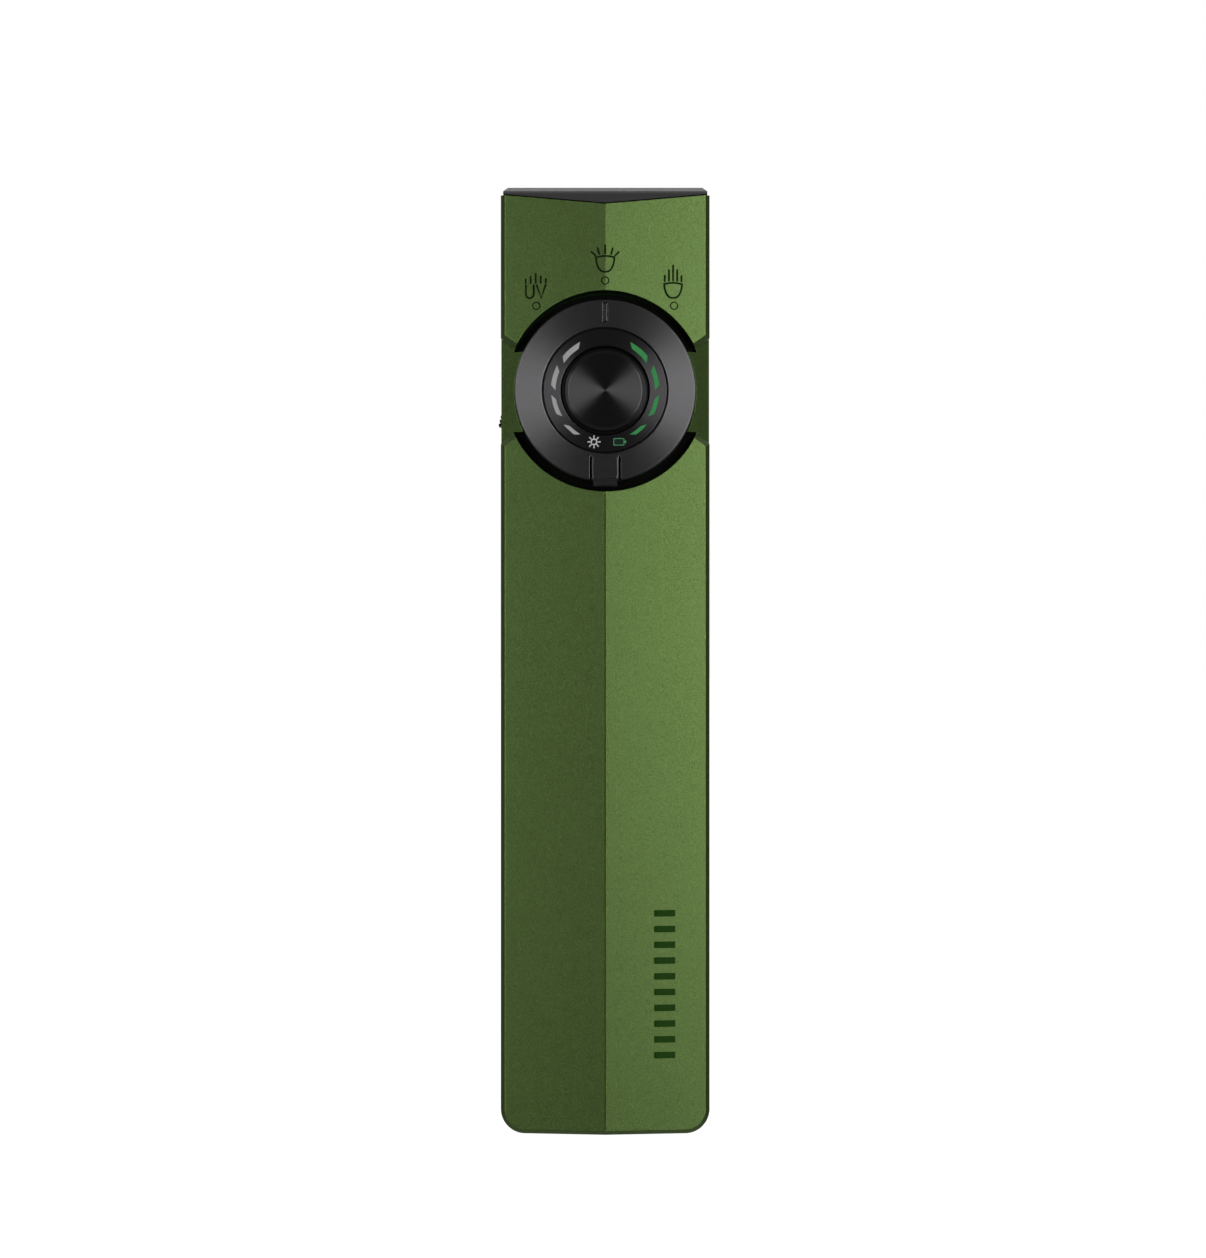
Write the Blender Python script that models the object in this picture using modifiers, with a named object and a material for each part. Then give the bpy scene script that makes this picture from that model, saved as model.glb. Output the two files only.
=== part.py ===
"""A flat pocket torch: rotary light selector with a press button in its middle, a side key and a back clip.

Frame: +Z runs from the tail to the lights, -Y is the front, +X is the right side seen from the front.
The origin is the bottom centre of the whole torch. Every size below is in millimetres times MM.
"""

import math

import bmesh
import bpy
from mathutils import Euler, Matrix, Vector

MM = 0.001

# ---- Driving dimensions: the housing ------------------------------------------------------------------
LENGTH = 120.6 * MM
HALF_WIDTH = 13.3 * MM
RIDGE_Y = -8.35 * MM  # the front is a shallow roof with its ridge on the centre line
BACK_Y = 6.05 * MM
FRONT_SLOPE = 1.35 / 13.3  # fall of each front facet per unit of width
BODY_TOP = 119.45 * MM
V_APEX = BODY_TOP - FRONT_SLOPE * HALF_WIDTH  # the head joint dips to here on the centre line
TAIL_CORNER = 3.05 * MM
FRONT_CHAMFER = 0.55 * MM
BACK_FILLET = 1.4 * MM
TAIL_WALL = 1.6 * MM
SEAM = 0.1 * MM  # gap between pieces that meet

# ---- Driving dimensions: the cavity and the head pocket -----------------------------------------------
CAVITY_X = 11.7 * MM
CAVITY_FRONT, CAVITY_BACK = -4.65 * MM, 4.45 * MM
CAVITY_Y = (CAVITY_FRONT + CAVITY_BACK) / 2
POCKET_X = 12.0 * MM
POCKET_FRONT, POCKET_BACK = -5.9 * MM, 4.45 * MM
POCKET_FLOOR = 108.0 * MM
HEAD_Y = (POCKET_FRONT + POCKET_BACK) / 2  # line of the optics

# ---- Driving dimensions: the selector dial. Heights rise from the recess floor towards the viewer ------
DIAL_Z = 94.38 * MM
RECESS_Y = -5.4 * MM
RECESS_RADIUS = 12.75 * MM
RING_OUTER, RING_INNER, RING_LIP = 11.47 * MM, 8.0 * MM, 7.35 * MM
RING_TOP, RING_UNDER = 3.55 * MM, 1.55 * MM
COVER_OUTER, COVER_TOP, COVER_UNDER = 7.8 * MM, 3.3 * MM, 2.45 * MM
BUTTON_RADIUS, BUTTON_TOP = 5.1 * MM, 3.75 * MM
SEAT_TOP = 1.1 * MM
BOSS_RADIUS, BOSS_BORE = 5.2 * MM, 4.4 * MM
MAGNET_RADIUS = 9.5 * MM  # distance of the selector magnet from the dial's axis
DETENT_RADIUS = 9.4 * MM
MODE_ANGLE = math.radians(39)  # between neighbouring light modes
MODE_DOT_RADIUS = 14.0 * MM
NOTCH_HALF, SILL_HALF = 5.3 * MM, 5.1 * MM  # half lengths of a finger notch and of its sill at the ring

# ---- Driving dimensions: side key, tail contact and clip ----------------------------------------------
KEY_Y, KEY_Z = -1.0 * MM, 92.6 * MM
KEY_LENGTH, KEY_WIDTH, KEY_THICK = 9.6 * MM, 3.6 * MM, 0.75 * MM
KEY_STEM = 0.9 * MM
CONTACT_HOLE = 4.0 * MM
CLIP_HALF_WIDTH, CLIP_THICK = 5.5 * MM, 0.8 * MM
CLIP_SCREW_Z = (100.0 * MM, 107.0 * MM)
CLIP_BEND_Z = 96.0 * MM
CLIP_TIP_Z = 44.0 * MM
CLIP_STANDOFF = 2.0 * MM

LARGE_ROUND, ROUND, SMALL_ROUND = 64, 40, 16  # facets of circles
WELD = 1e-6

PARTS = bpy.data.collections.new("pocket_torch")
CUTTERS = bpy.data.collections.new("cutters")

FINISHES = {  # colour, roughness, metallic
    "green_anodised": ((0.16, 0.26, 0.08, 1), 0.42, 0.7),
    "black_anodised": ((0.03, 0.03, 0.03, 1), 0.38, 0.7),
    "black_plastic": ((0.02, 0.02, 0.02, 1), 0.5, 0.0),
    "smoked_plastic": ((0.05, 0.05, 0.05, 1), 0.35, 0.0),
    "white_light_guide": ((0.8, 0.8, 0.8, 1), 0.4, 0.0),
    "green_light_guide": ((0.1, 0.5, 0.2, 1), 0.4, 0.0),
    "glass": ((0.9, 0.95, 0.95, 0.4), 0.02, 0.0),
    "clear_optic": ((0.9, 0.9, 0.9, 0.5), 0.05, 0.0),
    "chrome": ((0.8, 0.8, 0.8, 1), 0.08, 1.0),
    "rubber": ((0.02, 0.02, 0.02, 1), 0.8, 0.0),
    "copper": ((0.8, 0.45, 0.3, 1), 0.35, 1.0),
    "aluminium": ((0.6, 0.6, 0.62, 1), 0.4, 1.0),
    "brass": ((0.8, 0.6, 0.3, 1), 0.3, 1.0),
    "steel": ((0.5, 0.5, 0.5, 1), 0.3, 1.0),
    "black_steel": ((0.03, 0.03, 0.03, 1), 0.4, 1.0),
    "magnet": ((0.55, 0.55, 0.57, 1), 0.25, 1.0),
    "circuit_board": ((0.02, 0.15, 0.06, 1), 0.5, 0.0),
    "board_white": ((0.8, 0.8, 0.78, 1), 0.5, 0.0),
    "led_phosphor": ((0.9, 0.8, 0.25, 1), 0.5, 0.0),
    "battery_wrap": ((0.05, 0.12, 0.35, 1), 0.4, 0.0),
    "foam": ((0.1, 0.1, 0.1, 1), 0.9, 0.0),
    "red_wire": ((0.5, 0.02, 0.02, 1), 0.5, 0.0),
    "black_wire": ((0.02, 0.02, 0.02, 1), 0.5, 0.0),
}


# ---- Scene, materials and solids ----------------------------------------------------------------------
def clear_scene():
    for obj in list(bpy.data.objects):
        bpy.data.objects.remove(obj)
    for collection in (PARTS, CUTTERS):
        bpy.context.scene.collection.children.link(collection)


def finish_material(finish):
    material = bpy.data.materials.get(finish) or bpy.data.materials.new(finish)
    colour, roughness, metallic = FINISHES[finish]
    material.use_nodes = True
    shader = material.node_tree.nodes["Principled BSDF"]
    shader.inputs["Base Color"].default_value = colour
    shader.inputs["Roughness"].default_value = roughness
    shader.inputs["Metallic"].default_value = metallic
    return material


def frame_empty(name, location, rotation=(0, 0, 0)):
    empty = bpy.data.objects.new(name, None)
    empty.location, empty.rotation_euler = location, rotation
    PARTS.objects.link(empty)
    return empty


def placed(name, mesh, location=(0, 0, 0), rotation=(0, 0, 0), parent=None):
    """A new object of that mesh. It counts as a part until it is used as a cutter."""
    obj = bpy.data.objects.new(name, mesh)
    obj.location, obj.rotation_euler, obj.parent = location, rotation, parent
    PARTS.objects.link(obj)
    return obj


def finished(obj, finish):
    obj.data.materials.clear()
    obj.data.materials.append(finish_material(finish))
    return obj


def mesh_from(bm, name):
    mesh = bpy.data.meshes.new(name)
    bm.to_mesh(mesh)
    bm.free()
    return mesh


def mesh_of(guide):
    """The welded mesh that a guide object's curve or modifiers give; the guide is removed."""
    bpy.context.scene.collection.objects.link(guide)
    graph = bpy.context.evaluated_depsgraph_get()
    mesh = bpy.data.meshes.new_from_object(guide.evaluated_get(graph))
    mesh.name = guide.name
    bpy.data.objects.remove(guide)
    bm = bmesh.new()
    bm.from_mesh(mesh)
    bmesh.ops.remove_doubles(bm, verts=bm.verts, dist=WELD)
    bmesh.ops.recalc_face_normals(bm, faces=bm.faces)
    bm.to_mesh(mesh)
    bm.free()
    return mesh


def boolean(target, other, operation):
    """Joins or cuts the target with the other object, which then only serves as a cutter."""
    modifier = target.modifiers.new(other.name, "BOOLEAN")
    modifier.operation, modifier.object = operation, other
    PARTS.objects.unlink(other)
    CUTTERS.objects.link(other)
    other.hide_render, other.display_type = True, "WIRE"
    return target


def cut(target, *others):
    for other in others:
        boolean(target, other, "DIFFERENCE")
    return target


def join(target, *others):
    for other in others:
        boolean(target, other, "UNION")
    return target


def arc(centre, radius, start, end, steps):
    """Points of an arc, with angles in degrees counted from +X."""
    angles = [math.radians(start + (end - start) * i / steps) for i in range(steps + 1)]
    return [(centre[0] + radius * math.cos(a), centre[1] + radius * math.sin(a)) for a in angles]


def rounded_rectangle(low, high, radius, steps=4):
    """Outline between two opposite corners, counted anticlockwise."""
    inner_low = (low[0] + radius, low[1] + radius)
    inner_high = (high[0] - radius, high[1] - radius)
    return (
        arc((inner_high[0], inner_low[1]), radius, -90, 0, steps)
        + arc(inner_high, radius, 0, 90, steps)
        + arc((inner_low[0], inner_high[1]), radius, 90, 180, steps)
        + arc(inner_low, radius, 180, 270, steps)
    )


def centred(half_x, half_y, radius, centre=(0, 0), steps=4):
    low = (centre[0] - half_x, centre[1] - half_y)
    high = (centre[0] + half_x, centre[1] + half_y)
    return rounded_rectangle(low, high, radius, steps)


AXIS_TURNS = {"Z": (0, 0, 0), "Y": (math.pi / 2, 0, 0), "X": (math.pi / 2, 0, math.pi / 2)}


def extruded(name, outlines, low, high, axis="Z", parent=None):
    """A flat outline, with any hole outlines after it, drawn out along an axis from low to high.

    Along Z the outline is in X and Y, along Y it is in X and Z, and along X it is in Y and Z.
    """
    curve = bpy.data.curves.new(name, "CURVE")
    curve.dimensions, curve.fill_mode = "2D", "BOTH"
    curve.extrude = (high - low) / 2
    for outline in outlines:
        spline = curve.splines.new("POLY")
        spline.points.add(len(outline) - 1)
        for point, (x, y) in zip(spline.points, outline):
            point.co = (x, y, 0, 1)
        spline.use_cyclic_u = True
    location = Vector((0, 0, 0))
    location["XYZ".index(axis)] = (low + high) / 2
    return placed(name, mesh_of(bpy.data.objects.new(name, curve)), location, AXIS_TURNS[axis], parent)


def turned(name, profile, segments=ROUND, location=(0, 0, 0), rotation=(0, 0, 0), parent=None):
    """A profile of (radius, height) points, running down its outer side, turned about local Z.

    It is closed into a ring unless it starts and ends on the axis.
    """
    bm = bmesh.new()
    points = [bm.verts.new((radius, 0, height)) for radius, height in profile]
    pairs = list(zip(points, points[1:]))
    if profile[0][0] > 0:
        pairs.append((points[-1], points[0]))
    for pair in pairs:
        bm.edges.new(pair)
    guide = bpy.data.objects.new(name, mesh_from(bm, name))
    screw = guide.modifiers.new("turn", "SCREW")
    screw.steps = screw.render_steps = segments
    screw.use_merge_vertices, screw.merge_threshold = True, WELD
    return placed(name, mesh_of(guide), location, rotation, parent)


def tube_profile(inner, outer, low, high):
    return [(inner, high), (outer, high), (outer, low), (inner, low)]


def cylinder(name, radius, low, high, centre=(0, 0), axis="Z", segments=SMALL_ROUND, parent=None):
    """A round bar along an axis; centre holds its other two coordinates, in X, Y, Z order."""
    bm = bmesh.new()
    bmesh.ops.create_cone(
        bm, cap_ends=True, segments=segments, radius1=radius, radius2=radius, depth=high - low
    )
    location = list(centre)
    location.insert("XYZ".index(axis), (low + high) / 2)
    return placed(name, mesh_from(bm, name), location, AXIS_TURNS[axis], parent)


def box(name, low, high, edge=0.0, parent=None):
    """A block between two opposite corners, with its edges chamfered by edge."""
    low, high = Vector(low), Vector(high)
    bm = bmesh.new()
    bmesh.ops.create_cube(bm, size=1, matrix=Matrix.Diagonal((*(high - low), 1)))
    obj = placed(name, mesh_from(bm, name), (low + high) / 2, (0, 0, 0), parent)
    if edge:
        bevel = obj.modifiers.new("edge", "BEVEL")
        bevel.width, bevel.segments = edge, 1
    return obj


def bevel_edges(obj, chosen, width, segments=1):
    """Rounds the edges whose two ends, in the object's parent frame, satisfy chosen."""
    place = obj.matrix_basis
    bm = bmesh.new()
    bm.from_mesh(obj.data)
    bmesh.ops.dissolve_limit(bm, angle_limit=math.radians(0.5), verts=bm.verts, edges=bm.edges)
    edges = [e for e in bm.edges if chosen(*[place @ v.co for v in e.verts])]
    bmesh.ops.bevel(
        bm, geom=edges, offset=width, offset_type="OFFSET", segments=segments, profile=0.5, affect="EDGES"
    )
    bm.to_mesh(obj.data)
    bm.free()


def wire(name, route, radius, finish):
    """An insulated wire along a smooth curve through the route's points."""
    steps = 3  # points for each stretch of the route
    ends = [Vector(point) for point in (route[0], *route, route[-1])]
    points = []
    for a, b, c, d in zip(ends, ends[1:], ends[2:], ends[3:]):
        for i in range(steps):
            t = i / steps
            bend = (2 * a - 5 * b + 4 * c - d) * t**2 + (3 * b - a - 3 * c + d) * t**3
            points.append(0.5 * (2 * b + (c - a) * t + bend))
    points.append(ends[-1])
    curve = bpy.data.curves.new(name, "CURVE")
    curve.dimensions, curve.bevel_depth = "3D", radius
    curve.bevel_resolution, curve.use_fill_caps = 2, True
    spline = curve.splines.new("POLY")
    spline.points.add(len(points) - 1)
    for spline_point, point in zip(spline.points, points):
        spline_point.co = (*point, 1)
    obj = bpy.data.objects.new(name, curve)
    PARTS.objects.link(obj)
    return finished(obj, finish)


def front_y(x):
    return RIDGE_Y + FRONT_SLOPE * abs(x)


# ---- Housing ------------------------------------------------------------------------------------------
def housing_blank():
    """The extruded bar with its tail corners, front chamfer and back fillets."""
    section = [
        (0, RIDGE_Y),
        (HALF_WIDTH, front_y(HALF_WIDTH)),
        (HALF_WIDTH, BACK_Y),
        (-HALF_WIDTH, BACK_Y),
        (-HALF_WIDTH, front_y(HALF_WIDTH)),
    ]
    blank = extruded("body_shell", [section], 0, BODY_TOP)
    near = 1e-5

    def tail_corner(a, b):
        return max(a.z, b.z) < near and min(abs(a.x), abs(b.x)) > HALF_WIDTH - near and abs(a.x - b.x) < near

    def front_rim(a, b):
        on_front = all(abs(p.y - front_y(p.x)) < near for p in (a, b))
        on_ridge = abs(a.x) < near and abs(b.x) < near
        return on_front and not on_ridge and min(a.z, b.z) < BODY_TOP - near

    def back_rim(a, b):
        return min(a.y, b.y) > BACK_Y - near and min(a.z, b.z) < BODY_TOP - near

    bevel_edges(blank, tail_corner, TAIL_CORNER, 8)
    bevel_edges(blank, front_rim, FRONT_CHAMFER)
    bevel_edges(blank, back_rim, BACK_FILLET, 3)
    return blank


def notch_cutter(side, parent):
    """Finger notch beside the dial: a floor that falls outwards, and ends chamfered along the front facet."""
    half_at_edge, spread, draft = 6.0 * MM, 0.8, 1.0
    edge_x, edge_height, floor_at_edge, floor_fall = 11.3 * MM, 1.75 * MM, 1.05 * MM, 0.78
    near_x, far_x, top = 10.3 * MM, 14.4 * MM, 2.4 * MM
    middle = 0.15 * MM  # a notch sits slightly above the dial's own middle

    def floor(x):
        return floor_at_edge - floor_fall * (x - edge_x)

    def half(x, height):
        return half_at_edge + spread * (x - edge_x) + draft * (height - edge_height)

    chamfer_foot = floor_at_edge - FRONT_SLOPE * (far_x - edge_x)
    foot_half = half(far_x, chamfer_foot)
    near_height = edge_height + (NOTCH_HALF - half(near_x, edge_height)) / draft
    corners = [
        (near_x, NOTCH_HALF, floor(near_x)),
        (edge_x, NOTCH_HALF, floor_at_edge),
        (far_x, foot_half, floor(far_x)),
        (near_x, NOTCH_HALF, near_height),
        (far_x, foot_half, chamfer_foot),
        (near_x, half(near_x, top), top),
        (far_x, half(far_x, top), top),
    ]
    bm = bmesh.new()
    upper = [bm.verts.new((side * x, middle + y, z)) for x, y, z in corners]
    lower = [bm.verts.new((side * x, middle - y, z)) for x, y, z in corners]
    for end in (upper, lower):
        for face in ((0, 1, 3), (1, 2, 4), (3, 1, 4, 6, 5)):
            bm.faces.new([end[i] for i in face])
    for across in ((0, 1, 2), (5, 6), (2, 4, 6), (0, 3, 5)):
        bm.faces.new([upper[i] for i in across] + [lower[i] for i in reversed(across)])
    bmesh.ops.recalc_face_normals(bm, faces=bm.faces)
    return placed(f"notch_{side}", mesh_from(bm, "notch"), parent=parent)


def beside_dial(name, half, radius, parent):
    """Two blocks, one each side of the dial, that reach in to a radius: where the notches meet the recess."""
    low, high = -MM, 6 * MM
    blocks = [
        box(f"{name}_{i}", (-14 * MM, -half, low), (-8 * MM, half, high), parent=parent) for i in (0, 1)
    ]
    blocks[1].location.x = -blocks[1].location.x
    for i, block in enumerate(blocks):
        cut(block, cylinder(f"{name}_{i}_round", radius, 2 * low, 2 * high, segments=LARGE_ROUND, parent=parent))
    return blocks


def recess_cutter(dial):
    """The round recess under the dial, which keeps a sill beside the ring for each notch to slope from."""
    recess = cylinder("recess_cut", RECESS_RADIUS, 0, 5 * MM, segments=LARGE_ROUND, parent=dial)
    return cut(recess, *beside_dial("sill", SILL_HALF, RING_OUTER + 0.13 * MM, dial))


def body_shell(dial):
    body = housing_blank()
    above, beyond = 1.5 * MM, 1.0 * MM
    wide, top = HALF_WIDTH + beyond, BODY_TOP + above
    wide_z = V_APEX + FRONT_SLOPE * wide
    joint = [(0, V_APEX), (wide, wide_z), (wide, top), (-wide, top), (-wide, wide_z)]
    cut(
        body,
        extruded("head_joint_cut", [joint], RIDGE_Y - beyond, POCKET_FRONT + beyond, "Y"),
        extruded(
            "head_pocket_cut",
            [rounded_rectangle((-POCKET_X, POCKET_FRONT), (POCKET_X, POCKET_BACK), 1.5 * MM)],
            POCKET_FLOOR,
            top,
        ),
        extruded(
            "battery_cavity_cut",
            [rounded_rectangle((-CAVITY_X, CAVITY_FRONT), (CAVITY_X, CAVITY_BACK), 1.2 * MM)],
            TAIL_WALL,
            POCKET_FLOOR + beyond,
        ),
        recess_cutter(dial),
        cylinder("boss_hole_cut", BOSS_RADIUS + SEAM, -2 * MM, beyond, segments=ROUND, parent=dial),
        notch_cutter(1, dial),
        notch_cutter(-1, dial),
        cylinder("contact_hole_cut", CONTACT_HOLE, -MM, TAIL_WALL + MM, (0, CAVITY_Y), segments=ROUND),
    )
    key_room = 0.15 * MM
    slot_x, slot_z = KEY_WIDTH / 2 + key_room, KEY_LENGTH / 2 + key_room
    key_slot = centred(slot_x, slot_z, slot_x - WELD, (KEY_Y, KEY_Z), 6)
    pocket_floor = -HALF_WIDTH + KEY_THICK + 0.45 * MM
    cut(
        body,
        extruded("key_pocket_cut", [key_slot], -HALF_WIDTH - beyond, pocket_floor, "X"),
        cylinder("key_stem_cut", KEY_STEM + SEAM, -HALF_WIDTH, -CAVITY_X + beyond, (KEY_Y, KEY_Z), "X"),
    )
    for i, z in enumerate(CLIP_SCREW_Z):
        low, high = BACK_Y - 1.2 * MM, BACK_Y + beyond
        cut(body, cylinder(f"clip_hole_{i}_cut", 0.9 * MM, low, high, (0, z), "Y"))
    dot_depth = 0.2 * MM
    for i in (-1, 0, 1):
        x = MODE_DOT_RADIUS * math.sin(i * MODE_ANGLE)
        z = DIAL_Z + MODE_DOT_RADIUS * math.cos(i * MODE_ANGLE)
        floor = front_y(x) + dot_depth
        cut(body, cylinder(f"mode_dot_{i}_cut", 0.45 * MM, floor - beyond, floor, (x, z), "Y"))
    return finished(body, "green_anodised")


# ---- Head: bezel, window and lights -------------------------------------------------------------------
SPIGOT_LOW = 113.6 * MM
WINDOW_TOP = 119.65 * MM
WINDOW_THICK = 1.0 * MM
LIP_UNDER = 120.0 * MM
BOARD_TOP = 112.9 * MM
BOARD_THICK = 1.0 * MM
TRAY_LOW, TRAY_HIGH = 113.0 * MM, 118.6 * MM
MAIN_LIGHT_X = 6.7 * MM  # flood on the left, spot on the right
MAIN_BORE = 3.5 * MM
UV_Y, LASER_Y = HEAD_Y - 1.95 * MM, HEAD_Y + 1.95 * MM
UV_BORE, LASER_BORE = 1.7 * MM, 1.55 * MM
BOARD_SCREW = (2.6 * MM, HEAD_Y + 2.6 * MM)


def head_outline(inset, radius):
    """The head pocket's outline, drawn in by inset on all sides."""
    low = (-POCKET_X + inset, POCKET_FRONT + inset)
    high = (POCKET_X - inset, POCKET_BACK - inset)
    return rounded_rectangle(low, high, radius)


def head_bezel():
    side_inset, back_inset, edge = 0.3 * MM, 0.3 * MM, 0.4 * MM
    half = HALF_WIDTH - side_inset
    back = BACK_Y - back_inset
    low = BODY_TOP + SEAM
    corner = 1.2 * MM
    plate_outline = [
        (-half, RIDGE_Y),
        (half, RIDGE_Y),
        *arc((half - corner, back - corner), corner, 0, 90, 4),
        *arc((corner - half, back - corner), corner, 90, 180, 4),
    ]
    bezel = extruded("head_bezel", [plate_outline], low, LENGTH)

    def top_rim(a, b):
        return min(a.z, b.z) > LENGTH - 1e-5 and max(a.y, b.y) > RIDGE_Y + 1e-5

    bevel_edges(bezel, top_rim, edge)
    overlap = 0.4 * MM
    apex = V_APEX + SEAM
    chin_outline = [
        (0, apex),
        (half, apex + FRONT_SLOPE * half),
        (half, low + overlap),
        (-half, low + overlap),
        (-half, apex + FRONT_SLOPE * half),
    ]
    seal_depth, seal_low, seal_high = 0.5 * MM, 115.6 * MM, 116.8 * MM
    groove_outlines = [head_outline(-MM, 1.5 * MM), head_outline(SEAM + seal_depth, 1.0 * MM)]
    groove = extruded("seal_groove_cut", groove_outlines, seal_low, seal_high)
    spigot = extruded("spigot_join", [head_outline(SEAM, 1.4 * MM)], SPIGOT_LOW, low + overlap)
    chin_back = POCKET_FRONT + SEAM + overlap
    join(bezel, extruded("chin_join", [chin_outline], RIDGE_Y, chin_back, "Y"), spigot)
    slope = LENGTH + 2 * MM
    face = apex - RIDGE_Y  # the sloping face is where z - y equals this
    wedge = [(RIDGE_Y - MM, face + RIDGE_Y - MM), (slope - face, slope), (RIDGE_Y - MM, slope)]
    cut(
        bezel,
        extruded("sloped_face_cut", [wedge], -HALF_WIDTH - MM, HALF_WIDTH + MM, "X"),
        extruded("bezel_bore_cut", [head_outline(1.1 * MM, 1.4 * MM)], SPIGOT_LOW - MM, LIP_UNDER),
        extruded("window_opening_cut", [head_outline(1.95 * MM, 1.2 * MM)], LIP_UNDER - MM, LENGTH + MM),
        groove,
    )
    finished(bezel, "black_anodised")
    seal = [head_outline(0.06 * MM, 1.4 * MM), head_outline(SEAM + seal_depth - 0.05 * MM, 1.0 * MM)]
    finished(extruded("bezel_seal", seal, seal_low + SEAM, seal_high - SEAM), "rubber")


def window():
    inset, corner, room = 1.2 * MM, 1.3 * MM, 0.05 * MM
    glass = extruded("window_glass", [head_outline(inset, corner)], WINDOW_TOP - WINDOW_THICK, WINDOW_TOP)
    finished(glass, "glass")
    gasket = [head_outline(inset, corner), head_outline(1.9 * MM, corner)]
    finished(extruded("window_gasket", gasket, WINDOW_TOP + room, LIP_UNDER - room), "rubber")


def optics_tray():
    tray = extruded("optics_tray", [head_outline(1.25 * MM, 1.2 * MM)], TRAY_LOW, TRAY_HIGH)
    low, high = TRAY_LOW - MM, TRAY_HIGH + MM
    cut(
        tray,
        cylinder("flood_bore_cut", MAIN_BORE, low, high, (-MAIN_LIGHT_X, HEAD_Y), segments=24),
        cylinder("spot_bore_cut", MAIN_BORE, low, high, (MAIN_LIGHT_X, HEAD_Y), segments=24),
        cylinder("uv_bore_cut", UV_BORE, low, high, (0, UV_Y)),
        cylinder("laser_bore_cut", LASER_BORE, low, high, (0, LASER_Y)),
    )
    for side in (-1, 1):
        place = (side * BOARD_SCREW[0], BOARD_SCREW[1])
        cut(tray, cylinder(f"screw_room_{side}_cut", 1.0 * MM, low, TRAY_LOW + MM, place))
    finished(tray, "black_plastic")


def collimator(name, x, dome):
    """A turned lens: a flange, a conical side, a pocket for the LED and a dome on top."""
    rim, rim_thick, foot = 3.4 * MM, 0.7 * MM, 2.2 * MM
    top, low = TRAY_HIGH - 0.3 * MM - dome, TRAY_LOW + 0.2 * MM
    pocket, pocket_deep = 1.5 * MM, 1.8 * MM
    steps = 4
    turns = [math.pi / 2 * i / steps for i in range(steps + 1)]
    crown = [(rim * 0.9 * math.sin(t), top + dome * math.cos(t)) for t in turns]
    profile = crown + [
        (rim, top),
        (rim, top - rim_thick),
        (rim - 0.3 * MM, top - rim_thick),
        (foot, low),
        (pocket, low),
        (pocket * 0.8, low + pocket_deep),
        (0, low + pocket_deep + 0.3 * MM),
    ]
    finished(turned(name, profile, 24, (x, HEAD_Y, 0)), "clear_optic")


def emitters():
    led_low, led_high = BOARD_TOP + 0.05 * MM, BOARD_TOP + 0.65 * MM
    for name, half, x, y in (
        ("flood_led", 0.95 * MM, -MAIN_LIGHT_X, HEAD_Y),
        ("spot_led", 0.95 * MM, MAIN_LIGHT_X, HEAD_Y),
        ("uv_led", 0.7 * MM, 0, UV_Y),
    ):
        finished(box(name, (x - half, y - half, led_low), (x + half, y + half, led_high)), "led_phosphor")
    outer, mouth, throat = 1.6 * MM, 1.45 * MM, 1.05 * MM
    low, high = TRAY_LOW + 0.15 * MM, TRAY_HIGH - 0.25 * MM
    steps = 5
    bowl = [(throat + (mouth - throat) * math.sqrt(i / steps), low + (high - low) * i / steps)
            for i in range(steps + 1)]
    cup = turned("uv_reflector", [(outer, high), (outer, low), *bowl], SMALL_ROUND, (0, UV_Y, 0))
    finished(cup, "chrome")


def laser():
    radius, low, high = 1.4 * MM, 108.7 * MM, 117.9 * MM
    lens_room, deep = 1.1 * MM, 1.0 * MM
    profile = [
        (0, high - deep),
        (lens_room, high - deep),
        (lens_room, high),
        (radius, high),
        (radius, low),
        (0, low),
    ]
    finished(turned("laser_barrel", profile, SMALL_ROUND, (0, LASER_Y, 0)), "brass")
    lens = cylinder("laser_lens", lens_room - 0.08 * MM, high - 0.7 * MM, high - 0.2 * MM, (0, LASER_Y))
    finished(lens, "clear_optic")


def led_board_and_sink():
    board = extruded("led_board", [head_outline(1.25 * MM, 1.2 * MM)], BOARD_TOP - BOARD_THICK, BOARD_TOP)
    sink_high = BOARD_TOP - BOARD_THICK - SEAM
    sink = extruded("heat_sink", [head_outline(0.2 * MM, 1.3 * MM)], POCKET_FLOOR + SEAM, sink_high)
    low, high = POCKET_FLOOR - MM, BOARD_TOP + MM
    for piece, word in ((board, "board"), (sink, "sink")):
        cut(piece, cylinder(f"laser_{word}_cut", LASER_BORE, low, high, (0, LASER_Y)))
        for side in (-1, 1):
            place = (side * BOARD_SCREW[0], BOARD_SCREW[1])
            wire_place = (side * LED_WIRE_X, LED_WIRE_Y)
            screw_low = sink_high - 2.6 * MM
            cut(
                piece,
                cylinder(f"{word}_screw_{side}_cut", 0.7 * MM, screw_low, high, place),
                cylinder(f"{word}_wire_{side}_cut", 0.6 * MM, low, high, wire_place),
            )
    finished(board, "board_white")
    finished(sink, "copper")
    for i, side in enumerate((-1, 1)):
        seat = (side * BOARD_SCREW[0], BOARD_SCREW[1], BOARD_TOP + 0.05 * MM)
        screw(f"board_screw_{i + 1}", seat, (0, 0, 0), (0.85 * MM, 0.6 * MM), (0.6 * MM, 3.2 * MM), "steel")


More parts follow.
